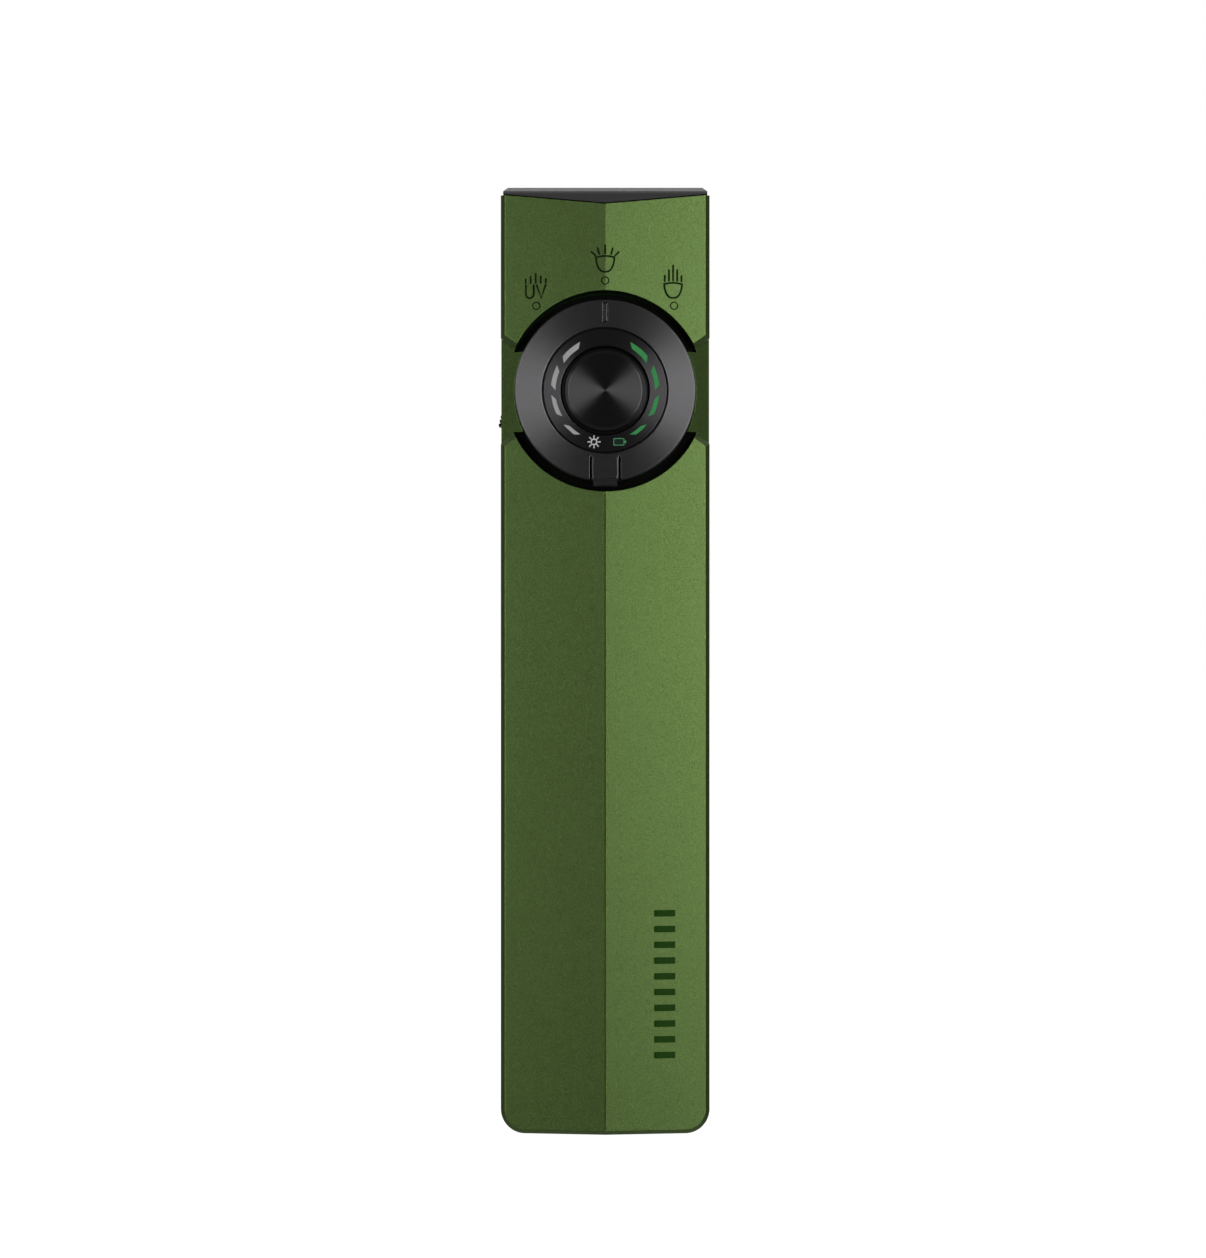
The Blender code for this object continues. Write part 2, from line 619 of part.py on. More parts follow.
def screw(name, seat, rotation, head, shank, finish):
    """A button-head screw with a hexagon socket; head and shank are each (radius, length).

    Local +Z points out of the head, and the seat is the middle of its underside.
    """
    head_radius, head_high = head
    shank_radius, shank_long = shank
    socket = head_radius * 0.5
    floor = head_high * 0.45
    profile = [
        (0, head_high),
        (head_radius * 0.7, head_high),
        (head_radius, head_high * 0.5),
        (head_radius, 0),
        (shank_radius, 0),
        (shank_radius, -shank_long),
        (0, -shank_long),
    ]
    piece = turned(name, profile, 20, seat, rotation)
    hexagon = cylinder(f"{name}_socket_cut", socket, floor, head_high + MM, segments=6)
    hexagon.location = Vector(seat) + Euler(rotation).to_matrix() @ Vector(hexagon.location)
    hexagon.rotation_euler = rotation
    return finished(cut(piece, hexagon), finish)


# ---- Selector dial, in dial axes ----------------------------------------------------------------------
def dial_seat(dial):
    """Fixed black seat: flange, hub wall for the ring to turn on, and a boss through the housing wall.

    The flange stops short of the two sills beside the ring.
    """
    flange_radius, flange_high = 12.45 * MM, 0.6 * MM
    platform = 11.0 * MM
    hub_outer, hub_inner, hub_high = 7.2 * MM, 6.95 * MM, 2.35 * MM
    boss_low = -1.9 * MM
    profile = [
        (BOSS_BORE, SEAT_TOP),
        (hub_inner, SEAT_TOP),
        (hub_inner, hub_high),
        (hub_outer, hub_high),
        (hub_outer, SEAT_TOP),
        (platform, SEAT_TOP),
        (platform, flange_high),
        (flange_radius, flange_high),
        (flange_radius, SEAM),
        (BOSS_RADIUS, SEAM),
        (BOSS_RADIUS, boss_low),
        (BOSS_BORE, boss_low),
    ]
    seat = turned("dial_seat", profile, ROUND, parent=dial)
    place = (DETENT_RADIUS, 0)
    cut(seat, cylinder("detent_room_cut", DETENT_BORE, DETENT_FLOOR, 2 * MM, place, parent=dial))
    cut(seat, *beside_dial("flange_gap", SILL_HALF + 0.12 * MM, platform + 0.2 * MM, dial))
    finished(seat, "black_anodised")
    nut_profile = tube_profile(BOSS_RADIUS + 0.06 * MM, 6.9 * MM, boss_low + SEAM, -0.85 * MM)
    nut = turned("seat_nut", nut_profile, 32, parent=dial)
    for i in range(4):
        turn = math.tau * i / 4
        slot = box(f"nut_slot_{i}_cut", (6.3 * MM, -0.8 * MM, -3 * MM), (8 * MM, 0.8 * MM, 0), parent=dial)
        slot.location.rotate(Euler((0, 0, turn)))
        slot.rotation_euler = (0, 0, turn)
        cut(nut, slot)
    finished(nut, "steel")


DETENT_BORE, DETENT_FLOOR = 0.62 * MM, 0.2 * MM
BALL_RADIUS, BALL_HEIGHT = 0.5 * MM, 1.2 * MM


def detent(dial):
    bm = bmesh.new()
    bmesh.ops.create_uvsphere(bm, u_segments=12, v_segments=8, radius=BALL_RADIUS)
    ball = placed("detent_ball", mesh_from(bm, "detent_ball"), (DETENT_RADIUS, 0, BALL_HEIGHT), parent=dial)
    finished(ball, "steel")
    coil = tube_profile(0.3 * MM, 0.5 * MM, 0.28 * MM, 0.62 * MM)
    spring = turned("detent_spring", coil, SMALL_ROUND, (DETENT_RADIUS, 0, 0), parent=dial)
    finished(spring, "steel")


def selector_ring(selector):
    """The turning ring: pointer slot at the top, thumb lug between two grooves at the bottom."""
    edge, inner_edge, under_edge = 0.2 * MM, 0.4 * MM, 0.3 * MM
    lip_top = 2.35 * MM
    track_in, track_out, track_high = 8.8 * MM, 10.0 * MM, 1.95 * MM
    profile = [
        (RING_INNER + inner_edge, RING_TOP),
        (RING_OUTER - edge, RING_TOP),
        (RING_OUTER, RING_TOP - edge),
        (RING_OUTER, RING_UNDER + under_edge),
        (RING_OUTER - under_edge, RING_UNDER),
        (track_out, RING_UNDER),
        (track_out, track_high),
        (track_in, track_high),
        (track_in, RING_UNDER),
        (RING_LIP, RING_UNDER),
        (RING_LIP, lip_top),
        (RING_INNER, lip_top),
        (RING_INNER, RING_TOP - 0.15 * MM),
    ]
    ring = turned("selector_ring", profile, LARGE_ROUND, parent=selector)
    lug_half, lug_in, lug_out = 1.55 * MM, 8.6 * MM, 12.1 * MM
    lug_high, lug_low, lug_fall = RING_TOP + 0.12 * MM, 2.1 * MM, 0.9 * MM
    lug_side = [
        (-lug_out, lug_low),
        (-lug_in, lug_low),
        (-lug_in, lug_high),
        (-lug_out + lug_fall, lug_high),
        (-lug_out, lug_high - lug_fall),
    ]
    join(ring, extruded("lug_join", [lug_side], -lug_half, lug_half, "X", selector))
    groove_half, groove_deep, groove_x = 0.22 * MM, 0.45 * MM, 1.85 * MM
    for side in (-1, 1):
        low = (side * groove_x - groove_half, -RING_OUTER - 0.2 * MM, RING_TOP - groove_deep)
        high = (side * groove_x + groove_half, -8.05 * MM, RING_TOP + MM)
        cut(ring, box(f"lug_groove_{side}_cut", low, high, parent=selector))
    pointer_half, pointer_in, pointer_out, pointer_deep = 0.32 * MM, 8.6 * MM, 11.1 * MM, 0.3 * MM
    low = (-pointer_half, pointer_in, RING_TOP - pointer_deep)
    high = (pointer_half, pointer_out, RING_TOP + MM)
    under, place = RING_UNDER, (0, -MAGNET_RADIUS)
    cut(
        ring,
        box("pointer_slot_cut", low, high, parent=selector),
        cylinder("magnet_pocket_cut", 1.1 * MM, under, under + 1.1 * MM, place, parent=selector),
    )
    finished(ring, "black_anodised")
    magnet = cylinder("selector_magnet", MM, under + SEAM, under + MM, place, parent=selector)
    finished(magnet, "magnet")


BAR_ANGLES = (42, 76, 108, 140)  # middle of each bar, in degrees from the top of the dial
BAR_SPANS = (24, 22, 21, 16)  # length of each bar, in degrees
BAR_SKEW = 5.5  # how far a bar's outer edge leads its inner edge towards the top, in degrees
BAR_MIDDLE = 6.58 * MM
BAR_THICK, BAR_THINNING = 0.66 * MM, 0.11 * MM


def bar_outline(index, side, grow=0.0):
    """One slanted indicator bar, on the left side for -1 and on the right for 1."""
    half = (BAR_THICK - BAR_THINNING * index) / 2 + grow
    spread = math.degrees(grow / BAR_MIDDLE)
    span = BAR_SPANS[index] / 2 + spread
    steps = 3
    inner = [BAR_ANGLES[index] + BAR_SKEW / 2 - span + 2 * span * i / steps for i in range(steps + 1)]
    outer = [a - BAR_SKEW for a in reversed(inner)]
    points = [(BAR_MIDDLE - half, a) for a in inner] + [(BAR_MIDDLE + half, a) for a in outer]
    return [(side * r * math.sin(math.radians(a)), r * math.cos(math.radians(a))) for r, a in points]


def indicator(dial):
    """Cover with slanted windows, two half-round light guides that fill them, and their LED board."""
    skirt_in, skirt_out, skirt_low = 5.65 * MM, 5.95 * MM, SEAT_TOP + SEAM
    lip_in, lip_low, lip_high = 5.25 * MM, 2.45 * MM, 2.75 * MM
    edge = 0.1 * MM
    profile = [
        (skirt_in + edge, COVER_TOP),
        (COVER_OUTER - edge, COVER_TOP),
        (COVER_OUTER, COVER_TOP - edge),
        (COVER_OUTER, COVER_UNDER),
        (skirt_out, COVER_UNDER),
        (skirt_out, skirt_low),
        (skirt_in, skirt_low),
        (skirt_in, lip_low),
        (lip_in, lip_low),
        (lip_in, lip_high),
        (skirt_in, lip_high),
        (skirt_in, COVER_TOP - edge),
    ]
    cover = turned("indicator_cover", profile, ROUND, parent=dial)
    guide_in, guide_out, guide_low, guide_high = 6.02 * MM, 6.88 * MM, 1.65 * MM, 2.35 * MM
    bar_room, bar_top = 0.05 * MM, COVER_TOP - 0.04 * MM
    gap_angle = 2
    for side, name, finish in (
        (-1, "brightness_light_guide", "white_light_guide"),
        (1, "battery_light_guide", "green_light_guide"),
    ):
        first, last = (-90 + gap_angle, 90 - gap_angle) if side == 1 else (90 + gap_angle, 270 - gap_angle)
        half_ring = arc((0, 0), guide_out, first, last, 12) + arc((0, 0), guide_in, last, first, 12)
        guide = extruded(name, [half_ring], guide_low, guide_high, parent=dial)
        for i in range(len(BAR_ANGLES)):
            window, bar = [bar_outline(i, side, bar_room)], [bar_outline(i, side)]
            low, high = COVER_UNDER - 0.5 * MM, COVER_TOP + MM
            cut(cover, extruded(f"{name}_window_{i}_cut", window, low, high, parent=dial))
            low = guide_high - 0.3 * MM
            join(guide, extruded(f"{name}_bar_{i}_join", bar, low, bar_top, parent=dial))
        finished(guide, finish)
    finished(cover, "smoked_plastic")
    board = tube_profile(guide_in, guide_out, SEAT_TOP + 0.05 * MM, 1.55 * MM)
    finished(turned("indicator_board", board, 24, parent=dial), "circuit_board")


# ---- Press button, in dial axes -----------------------------------------------------------------------
PLUNGER_RADIUS, PLUNGER_LOW, PLUNGER_HIGH = 0.8 * MM, 0.3 * MM, 1.0 * MM


def press_button(dial, button):
    face, edge_high = 4.65 * MM, 0.35 * MM
    guide, guide_low, guide_high = 5.5 * MM, 1.7 * MM, 2.35 * MM
    wall, face_under = 4.7 * MM, 2.9 * MM
    stem, stem_low = 1.2 * MM, PLUNGER_HIGH + 0.05 * MM
    profile = [
        (0, BUTTON_TOP),
        (face, BUTTON_TOP),
        (BUTTON_RADIUS, BUTTON_TOP - edge_high),
        (BUTTON_RADIUS, guide_high),
        (guide, guide_high),
        (guide, guide_low),
        (wall, guide_low),
        (wall, face_under),
        (stem, face_under),
        (stem, stem_low),
        (0, stem_low),
    ]
    finished(turned("button_cap", profile, ROUND, parent=button), "black_anodised")
    plunger = cylinder("switch_plunger", PLUNGER_RADIUS, PLUNGER_LOW, PLUNGER_HIGH, parent=button)
    finished(plunger, "white_light_guide")
    seal_out, seal_low, seal_high = BOSS_BORE - 0.06 * MM, SEAT_TOP - 0.3 * MM, SEAT_TOP - 0.05 * MM
    seal_profile = tube_profile(1.35 * MM, seal_out, seal_low, seal_high)
    finished(turned("button_seal", seal_profile, 24, parent=dial), "rubber")
    half, low, high = 1.8 * MM, -0.55 * MM, 0.65 * MM
    switch = box("button_switch", (-half, -half, low), (half, half, high), parent=dial)
    bore, bore_low = PLUNGER_RADIUS + SEAM, PLUNGER_LOW - 0.6 * MM
    cut(switch, cylinder("plunger_bore_cut", bore, bore_low, high + MM, parent=dial))
    finished(switch, "steel")
    board_radius, board_low = BOSS_BORE - SEAM, -1.2 * MM
    board = cylinder("switch_board", board_radius, board_low, low - 0.05 * MM, segments=24, parent=dial)
    finished(board, "circuit_board")


# ---- Side key -----------------------------------------------------------------------------------------
SIDE_SWITCH_FACE = -11.25 * MM


def side_key(key):
    """A flush pill with a ribbed nub near its lower end and a stem through the wall, in key axes."""
    outline = centred(KEY_WIDTH / 2, KEY_LENGTH / 2, KEY_WIDTH / 2 - WELD, steps=6)
    cap = extruded("side_key", [outline], 0, KEY_THICK, "X", key)
    stem_end = SIDE_SWITCH_FACE + HALF_WIDTH - 0.05 * MM
    join(cap, cylinder("key_stem_join", KEY_STEM, KEY_THICK * 0.5, stem_end, (0, 0), "X", parent=key))
    ribs, pitch, rib_half, rib_high = 3, 0.52 * MM, 0.2 * MM, 0.44 * MM
    nub_half, nub_middle = 1.15 * MM, -1.55 * MM
    for i in range(ribs):
        z = nub_middle + (i - 1) * pitch
        proud = rib_high - 0.12 * MM * i
        low, high = (-proud, -nub_half, z - rib_half), (KEY_THICK / 2, nub_half, z + rib_half)
        join(cap, box(f"key_rib_{i}_join", low, high, parent=key))
    finished(cap, "black_anodised")
    switch_low, switch_high = SIDE_SWITCH_FACE, SIDE_SWITCH_FACE + 1.4 * MM
    half, bore_floor = 1.75 * MM, switch_low + 0.6 * MM
    low, high = (switch_low, KEY_Y - half, KEY_Z - half), (switch_high, KEY_Y + half, KEY_Z + half)
    switch = box("side_switch", low, high)
    place = (KEY_Y, KEY_Z)
    cut(switch, cylinder("side_switch_bore_cut", KEY_STEM + SEAM, switch_low - MM, bore_floor, place, "X"))
    finished(switch, "steel")
    low = (switch_high + 0.05 * MM, KEY_Y - 2.4 * MM, KEY_Z - 5 * MM)
    high = (switch_high + 0.65 * MM, KEY_Y + 2.4 * MM, KEY_Z + 5 * MM)
    finished(box("side_board", low, high), "circuit_board")
    seal_profile = tube_profile(KEY_STEM + 0.05 * MM, 1.6 * MM, 0, 0.3 * MM)
    place = (-CAVITY_X + 0.05 * MM, KEY_Y, KEY_Z)
    finished(turned("key_seal", seal_profile, SMALL_ROUND, place, (0, math.pi / 2, 0)), "rubber")


# ---- Electronics and battery --------------------------------------------------------------------------
BOARD_FRONT, BOARD_BACK = -2.9 * MM, -1.9 * MM
CONTROL_LOW, CONTROL_HIGH = 77.0 * MM, 107.2 * MM
CELL_LOW, CELL_HIGH = 9.0 * MM, 73.0 * MM
CELL_X, CELL_FRONT, CELL_BACK = 10.3 * MM, -4.2 * MM, 4.0 * MM
WIRE = 0.38 * MM
WIRE_PAIR = ((-1, "negative", "black_wire"), (1, "positive", "red_wire"))  # side, name and finish
LED_WIRE_X, LED_WIRE_Y = 4.9 * MM, POCKET_BACK - 1.9 * MM


def electronics():
    low, high = (-8.7 * MM, BOARD_FRONT, CONTROL_LOW), (11.2 * MM, BOARD_BACK, CONTROL_HIGH)
    finished(box("control_board", low, high), "circuit_board")
    back = BOARD_BACK + 0.05 * MM
    for name, x, z, half_x, half_z, high, finish in (
        ("driver_inductor", 3.5, 101.5, 3.0, 3.0, 3.0, "steel"),
        ("microcontroller", 3.0, 91.5, 2.5, 2.5, 0.9, "black_plastic"),
        ("battery_connector", 0.0, 81.0, 3.5, 2.0, 3.2, "board_white"),
    ):
        low = ((x - half_x) * MM, back, (z - half_z) * MM)
        high_corner = ((x + half_x) * MM, back + high * MM, (z + half_z) * MM)
        finished(box(name, low, high_corner, 0.15 * MM), finish)
    front = BOARD_FRONT - 0.05 * MM
    half_x, half_z, thick = 1.4 * MM, 0.8 * MM, 0.9 * MM
    z = DIAL_Z - MAGNET_RADIUS
    low, high = (-half_x, front - thick, z - half_z), (half_x, front, z + half_z)
    finished(box("hall_sensor", low, high), "black_plastic")
    link_half, link_front = 2.0 * MM, RECESS_Y + 1.25 * MM
    low, high = (-link_half, link_front, DIAL_Z - MM), (link_half, front, DIAL_Z + MM)
    finished(box("board_link", low, high), "board_white")


def battery():
    low, high = (-CELL_X, CELL_FRONT, CELL_LOW), (CELL_X, CELL_BACK, CELL_HIGH)
    finished(box("battery_cell", low, high, 1.0 * MM), "battery_wrap")
    pad_x, pad_low, pad_high = 8.5 * MM, CELL_LOW + 4 * MM, CELL_HIGH - 4 * MM
    room = 0.06 * MM
    low, high = (-pad_x, CELL_BACK + room, pad_low), (pad_x, CAVITY_BACK - room, pad_high)
    finished(box("battery_pad", low, high), "foam")
    connector_top, connector_y = 78.9 * MM, 0.4 * MM
    for side, name, finish in WIRE_PAIR:
        cell_end = CELL_HIGH + SEAM
        route = [
            (side * 6.0 * MM, 0, cell_end),
            (side * 6.0 * MM, 0.1 * MM, cell_end + 1.2 * MM),
            (side * 4.0 * MM, 0.4 * MM, cell_end + 2.8 * MM),
            (side * 1.6 * MM, connector_y, cell_end + 4.2 * MM),
            (side * 1.6 * MM, connector_y, connector_top),
        ]
        wire(f"battery_wire_{name}", route, WIRE, finish)
    for side, name, finish in WIRE_PAIR:
        route = [
            (side * LED_WIRE_X, BOARD_BACK + WIRE + 0.08 * MM, 105.4 * MM),
            (side * LED_WIRE_X, BOARD_BACK + WIRE + 0.3 * MM, 106.0 * MM),
            (side * LED_WIRE_X, LED_WIRE_Y - 0.8 * MM, 107.2 * MM),
            (side * LED_WIRE_X, LED_WIRE_Y, 108.4 * MM),
            (side * LED_WIRE_X, LED_WIRE_Y, BOARD_TOP),
        ]
        wire(f"led_wire_{name}", route, WIRE, finish)


# ---- Tail contact -------------------------------------------------------------------------------------
def tail_contact():
    place = (0, CAVITY_Y, 0)
    room, proud = 0.08 * MM, 0.05 * MM
    pin_head, pin_neck, head_high = 1.15 * MM, 0.8 * MM, 1.2 * MM
    ring_in, ring_out, ring_high = 2.25 * MM, 3.25 * MM, 1.2 * MM
    neck, flange, flange_low, flange_high = CONTACT_HOLE - SEAM, 4.4 * MM, TAIL_WALL + SEAM, 2.8 * MM
    insulator = [
        (pin_neck + room, flange_high),
        (flange, flange_high),
        (flange, flange_low),
        (neck, flange_low),
        (neck, SEAM),
        (ring_out + room, SEAM),
        (ring_out + room, ring_high + room),
        (ring_in - room, ring_high + room),
        (ring_in - room, SEAM),
        (pin_head + room, SEAM),
        (pin_head + room, head_high + room),
        (pin_neck + room, head_high + room),
    ]
    finished(turned("contact_insulator", insulator, 24, place), "black_plastic")
    finished(turned("contact_ring", tube_profile(ring_in, ring_out, proud, ring_high), 24, place), "brass")
    pin_top = 7.8 * MM
    pin = [
        (0, pin_top),
        (pin_neck, pin_top),
        (pin_neck, head_high),
        (pin_head, head_high),
        (pin_head, proud),
        (0, proud),
    ]
    finished(turned("contact_pin", pin, SMALL_ROUND, place), "brass")
    magnet_low, magnet_high = flange_high + SEAM, flange_high + 3.1 * MM
    magnet = tube_profile(1.6 * MM, flange, magnet_low, magnet_high)
    finished(turned("tail_magnet", magnet, 24, place), "magnet")
    board_outline = centred(9.5 * MM, 4.3 * MM, 1.0 * MM, (0, CAVITY_Y))
    board = extruded("charge_board", [board_outline], magnet_high + SEAM, magnet_high + 0.9 * MM)
    cut(board, cylinder("pin_hole_cut", pin_neck + room, 0, 9 * MM, (0, CAVITY_Y)))
    finished(board, "circuit_board")
    wire_x = (CELL_X + CAVITY_X) / 2
    start = magnet_high + 1.0 * MM
    for side, name, finish in WIRE_PAIR:
        route = [
            (side * 8.2 * MM, 1.2 * MM, start + WIRE),
            (side * 9.4 * MM, 1.2 * MM, start + 0.9 * MM),
            (side * wire_x, 1.2 * MM, start + 4.5 * MM),
            (side * wire_x, 1.2 * MM, 40 * MM),
            (side * wire_x, 1.2 * MM, 70 * MM),
            (side * (wire_x - 1.5 * MM), 0.2 * MM, 76 * MM),
            (side * 8.0 * MM, BOARD_BACK + WIRE + 0.2 * MM, 79 * MM),
            (side * 8.0 * MM, BOARD_BACK + WIRE + 0.08 * MM, 80.5 * MM),
        ]
        wire(f"charge_wire_{name}", route, WIRE, finish)


# ---- Back clip ----------------------------------------------------------------------------------------
def strip(name, line, half_width, thick, parent=None):
    """A bent strip: a centre line of (y, z) points given a thickness, drawn out across X."""
    sides = ([], [])
    for i, point in enumerate(line):
        before, after = Vector(line[max(i - 1, 0)]), Vector(line[min(i + 1, len(line) - 1)])
        along = (after - before).normalized()
        for points, side in zip(sides, (-1, 1)):
            points.append(tuple(Vector(point) + side * thick / 2 * Vector((-along.y, along.x))))
    return extruded(name, [sides[0] + sides[1][::-1]], -half_width, half_width, "X", parent)


def clip(hinge):
    """One spring-steel strip in two pieces that meet at its bend: a screwed foot, and an arm that flexes."""
    foot_y = BACK_Y + SEAM + CLIP_THICK / 2
    foot_top = 110.5 * MM
    foot = strip("clip_foot", [(foot_y, foot_top), (foot_y, CLIP_BEND_Z + SEAM)], CLIP_HALF_WIDTH, CLIP_THICK)
    head, shank = (1.7 * MM, 0.95 * MM), (0.8 * MM, 2.0 * MM)
    for i, z in enumerate(CLIP_SCREW_Z):
        cut(foot, cylinder(f"clip_foot_hole_{i}_cut", 0.95 * MM, BACK_Y - MM, BACK_Y + 3 * MM, (0, z), "Y"))
        seat = (0, BACK_Y + SEAM + CLIP_THICK + 0.05 * MM, z)
        screw(f"clip_screw_{i + 1}", seat, (-math.pi / 2, 0, 0), head, shank, "black_steel")
    finished(foot, "black_steel")
    arm_y = foot_y + CLIP_STANDOFF
    nip_y = BACK_Y + 0.35 * MM + CLIP_THICK / 2
    tip_y = arm_y + 0.25 * MM
    world_line = [
        (foot_y, CLIP_BEND_Z - SEAM),
        (foot_y + 0.1 * MM, CLIP_BEND_Z - 0.9 * MM),
        (arm_y - 0.15 * MM, CLIP_BEND_Z - 3.9 * MM),
        (arm_y, CLIP_BEND_Z - 5.0 * MM),
        (arm_y, CLIP_TIP_Z + 14 * MM),
        (nip_y + 0.25 * MM, CLIP_TIP_Z + 5.2 * MM),
        (nip_y, CLIP_TIP_Z + 4 * MM),
        (nip_y + 0.25 * MM, CLIP_TIP_Z + 2.8 * MM),
        (tip_y, CLIP_TIP_Z),
    ]
    line = [(y - hinge.location.y, z - hinge.location.z) for y, z in world_line]
    arm = strip("clip_arm", line, CLIP_HALF_WIDTH, CLIP_THICK, hinge)
    narrow, taper_top = 3.6 * MM, CLIP_TIP_Z + 20 * MM
    for side in (-1, 1):
        outer = CLIP_HALF_WIDTH + MM
        outline = [
            (side * narrow, CLIP_TIP_Z - 2 * MM),
            (side * outer, CLIP_TIP_Z - 2 * MM),
            (side * outer, taper_top),
            (side * CLIP_HALF_WIDTH, taper_top),
        ]
        cut(arm, extruded(f"clip_taper_{side}_cut", [outline], BACK_Y - MM, BACK_Y + 6 * MM, "Y"))
    finished(arm, "black_steel")


def main():
    clear_scene()
    turn_out = (math.pi / 2, 0, 0)  # local +Z points at the viewer, local +Y stays up
    dial = frame_empty("dial_frame", (0, RECESS_Y, DIAL_Z), turn_out)
    selector = frame_empty("selector_axis", (0, 0, 0))
    selector.parent = dial
    button = frame_empty("button_axis", (0, 0, 0))
    button.parent = dial
    key = frame_empty("key_axis", (-HALF_WIDTH, KEY_Y, KEY_Z))
    hinge = frame_empty("clip_bend_axis", (0, BACK_Y + SEAM + CLIP_THICK / 2, CLIP_BEND_Z))
    bpy.context.view_layer.update()
    body_shell(dial)
    head_bezel()
    window()
    optics_tray()
    collimator("flood_optic", -MAIN_LIGHT_X, 0.6 * MM)
    collimator("spot_optic", MAIN_LIGHT_X, 0.1 * MM)
    emitters()
    laser()
    led_board_and_sink()
    dial_seat(dial)
    detent(dial)
    selector_ring(selector)
    indicator(dial)
    press_button(dial, button)
    side_key(key)
    electronics()
    battery()
    tail_contact()
    clip(hinge)


main()
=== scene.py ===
"""The looks of the flat pocket torch: fine versions of its visible pieces, their materials, and a studio.

Sizes are in millimetres times MM, in the CAD frame: +Z to the lights, -Y the front, tail at Z = 0.
"""

import bisect
import math

import bmesh
import bpy
from mathutils import Euler, Matrix, Vector

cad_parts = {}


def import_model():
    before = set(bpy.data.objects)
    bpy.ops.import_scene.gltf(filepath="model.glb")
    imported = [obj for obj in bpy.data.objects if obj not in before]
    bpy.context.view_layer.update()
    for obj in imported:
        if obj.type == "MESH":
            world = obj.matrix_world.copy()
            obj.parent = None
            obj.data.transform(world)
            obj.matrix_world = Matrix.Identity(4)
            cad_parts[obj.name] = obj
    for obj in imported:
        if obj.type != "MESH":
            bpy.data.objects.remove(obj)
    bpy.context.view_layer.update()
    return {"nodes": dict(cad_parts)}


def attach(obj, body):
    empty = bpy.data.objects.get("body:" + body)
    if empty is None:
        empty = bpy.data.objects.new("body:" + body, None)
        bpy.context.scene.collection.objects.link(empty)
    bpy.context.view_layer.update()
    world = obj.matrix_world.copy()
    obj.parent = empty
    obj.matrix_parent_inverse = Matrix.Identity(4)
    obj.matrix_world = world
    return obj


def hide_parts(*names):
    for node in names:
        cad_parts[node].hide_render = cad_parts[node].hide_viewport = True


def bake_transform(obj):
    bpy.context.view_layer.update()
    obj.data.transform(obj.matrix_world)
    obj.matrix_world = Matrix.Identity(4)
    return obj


MM = 0.001
WELD = 8e-6
FLAT = math.radians(0.6)

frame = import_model()

# ---- Sizes shared with the CAD ------------
HALF_WIDTH = 13.3 * MM
RIDGE_Y, BACK_Y = -8.35 * MM, 6.05 * MM
FRONT_SLOPE = 1.35 / 13.3
BODY_TOP, LENGTH = 119.45 * MM, 120.6 * MM
V_APEX = BODY_TOP - FRONT_SLOPE * HALF_WIDTH
SEAM = 0.1 * MM
POCKET_X, POCKET_FRONT, POCKET_BACK = 12.0 * MM, -5.9 * MM, 4.45 * MM
POCKET_FLOOR = 108.0 * MM
HEAD_Y = (POCKET_FRONT + POCKET_BACK) / 2
CAVITY_X, CAVITY_FRONT, CAVITY_BACK = 11.7 * MM, -4.65 * MM, 4.45 * MM
CAVITY_Y = (CAVITY_FRONT + CAVITY_BACK) / 2
TAIL_WALL = 1.6 * MM
DIAL_Z, RECESS_Y = 94.38 * MM, -5.4 * MM
RECESS_RADIUS = 12.75 * MM
RING_TOP, RING_UNDER, RING_OUTER, RING_INNER = 3.55 * MM, 1.55 * MM, 11.47 * MM, 8.0 * MM
COVER_TOP, COVER_OUTER = 3.3 * MM, 7.8 * MM
BUTTON_RADIUS, BUTTON_TOP = 5.1 * MM, 3.75 * MM
MODE_ANGLE = math.radians(39)
NOTCH_HALF, SILL_HALF = 5.3 * MM, 5.1 * MM
KEY_Y, KEY_Z, KEY_LENGTH, KEY_WIDTH, KEY_THICK = -1.0 * MM, 92.6 * MM, 9.6 * MM, 3.6 * MM, 0.75 * MM
CLIP_THICK, CLIP_HALF, CLIP_BEND_Z, CLIP_TIP_Z = 0.8 * MM, 5.5 * MM, 96.0 * MM, 44.0 * MM
CLIP_SCREW_Z = (100.0 * MM, 107.0 * MM)

DIAL_TURN = (math.pi / 2, 0, 0)  # local +Z points out of the front, local +Y stays up
DIAL_AT = (0, RECESS_Y, DIAL_Z)


# ---- Materials ------------
def set_range(node, from_low, from_high, to_low, to_high):
    sockets = ("From Min", "From Max", "To Min", "To Max")
    for socket, number in zip(sockets, (from_low, from_high, to_low, to_high)):
        node.inputs[socket].default_value = number


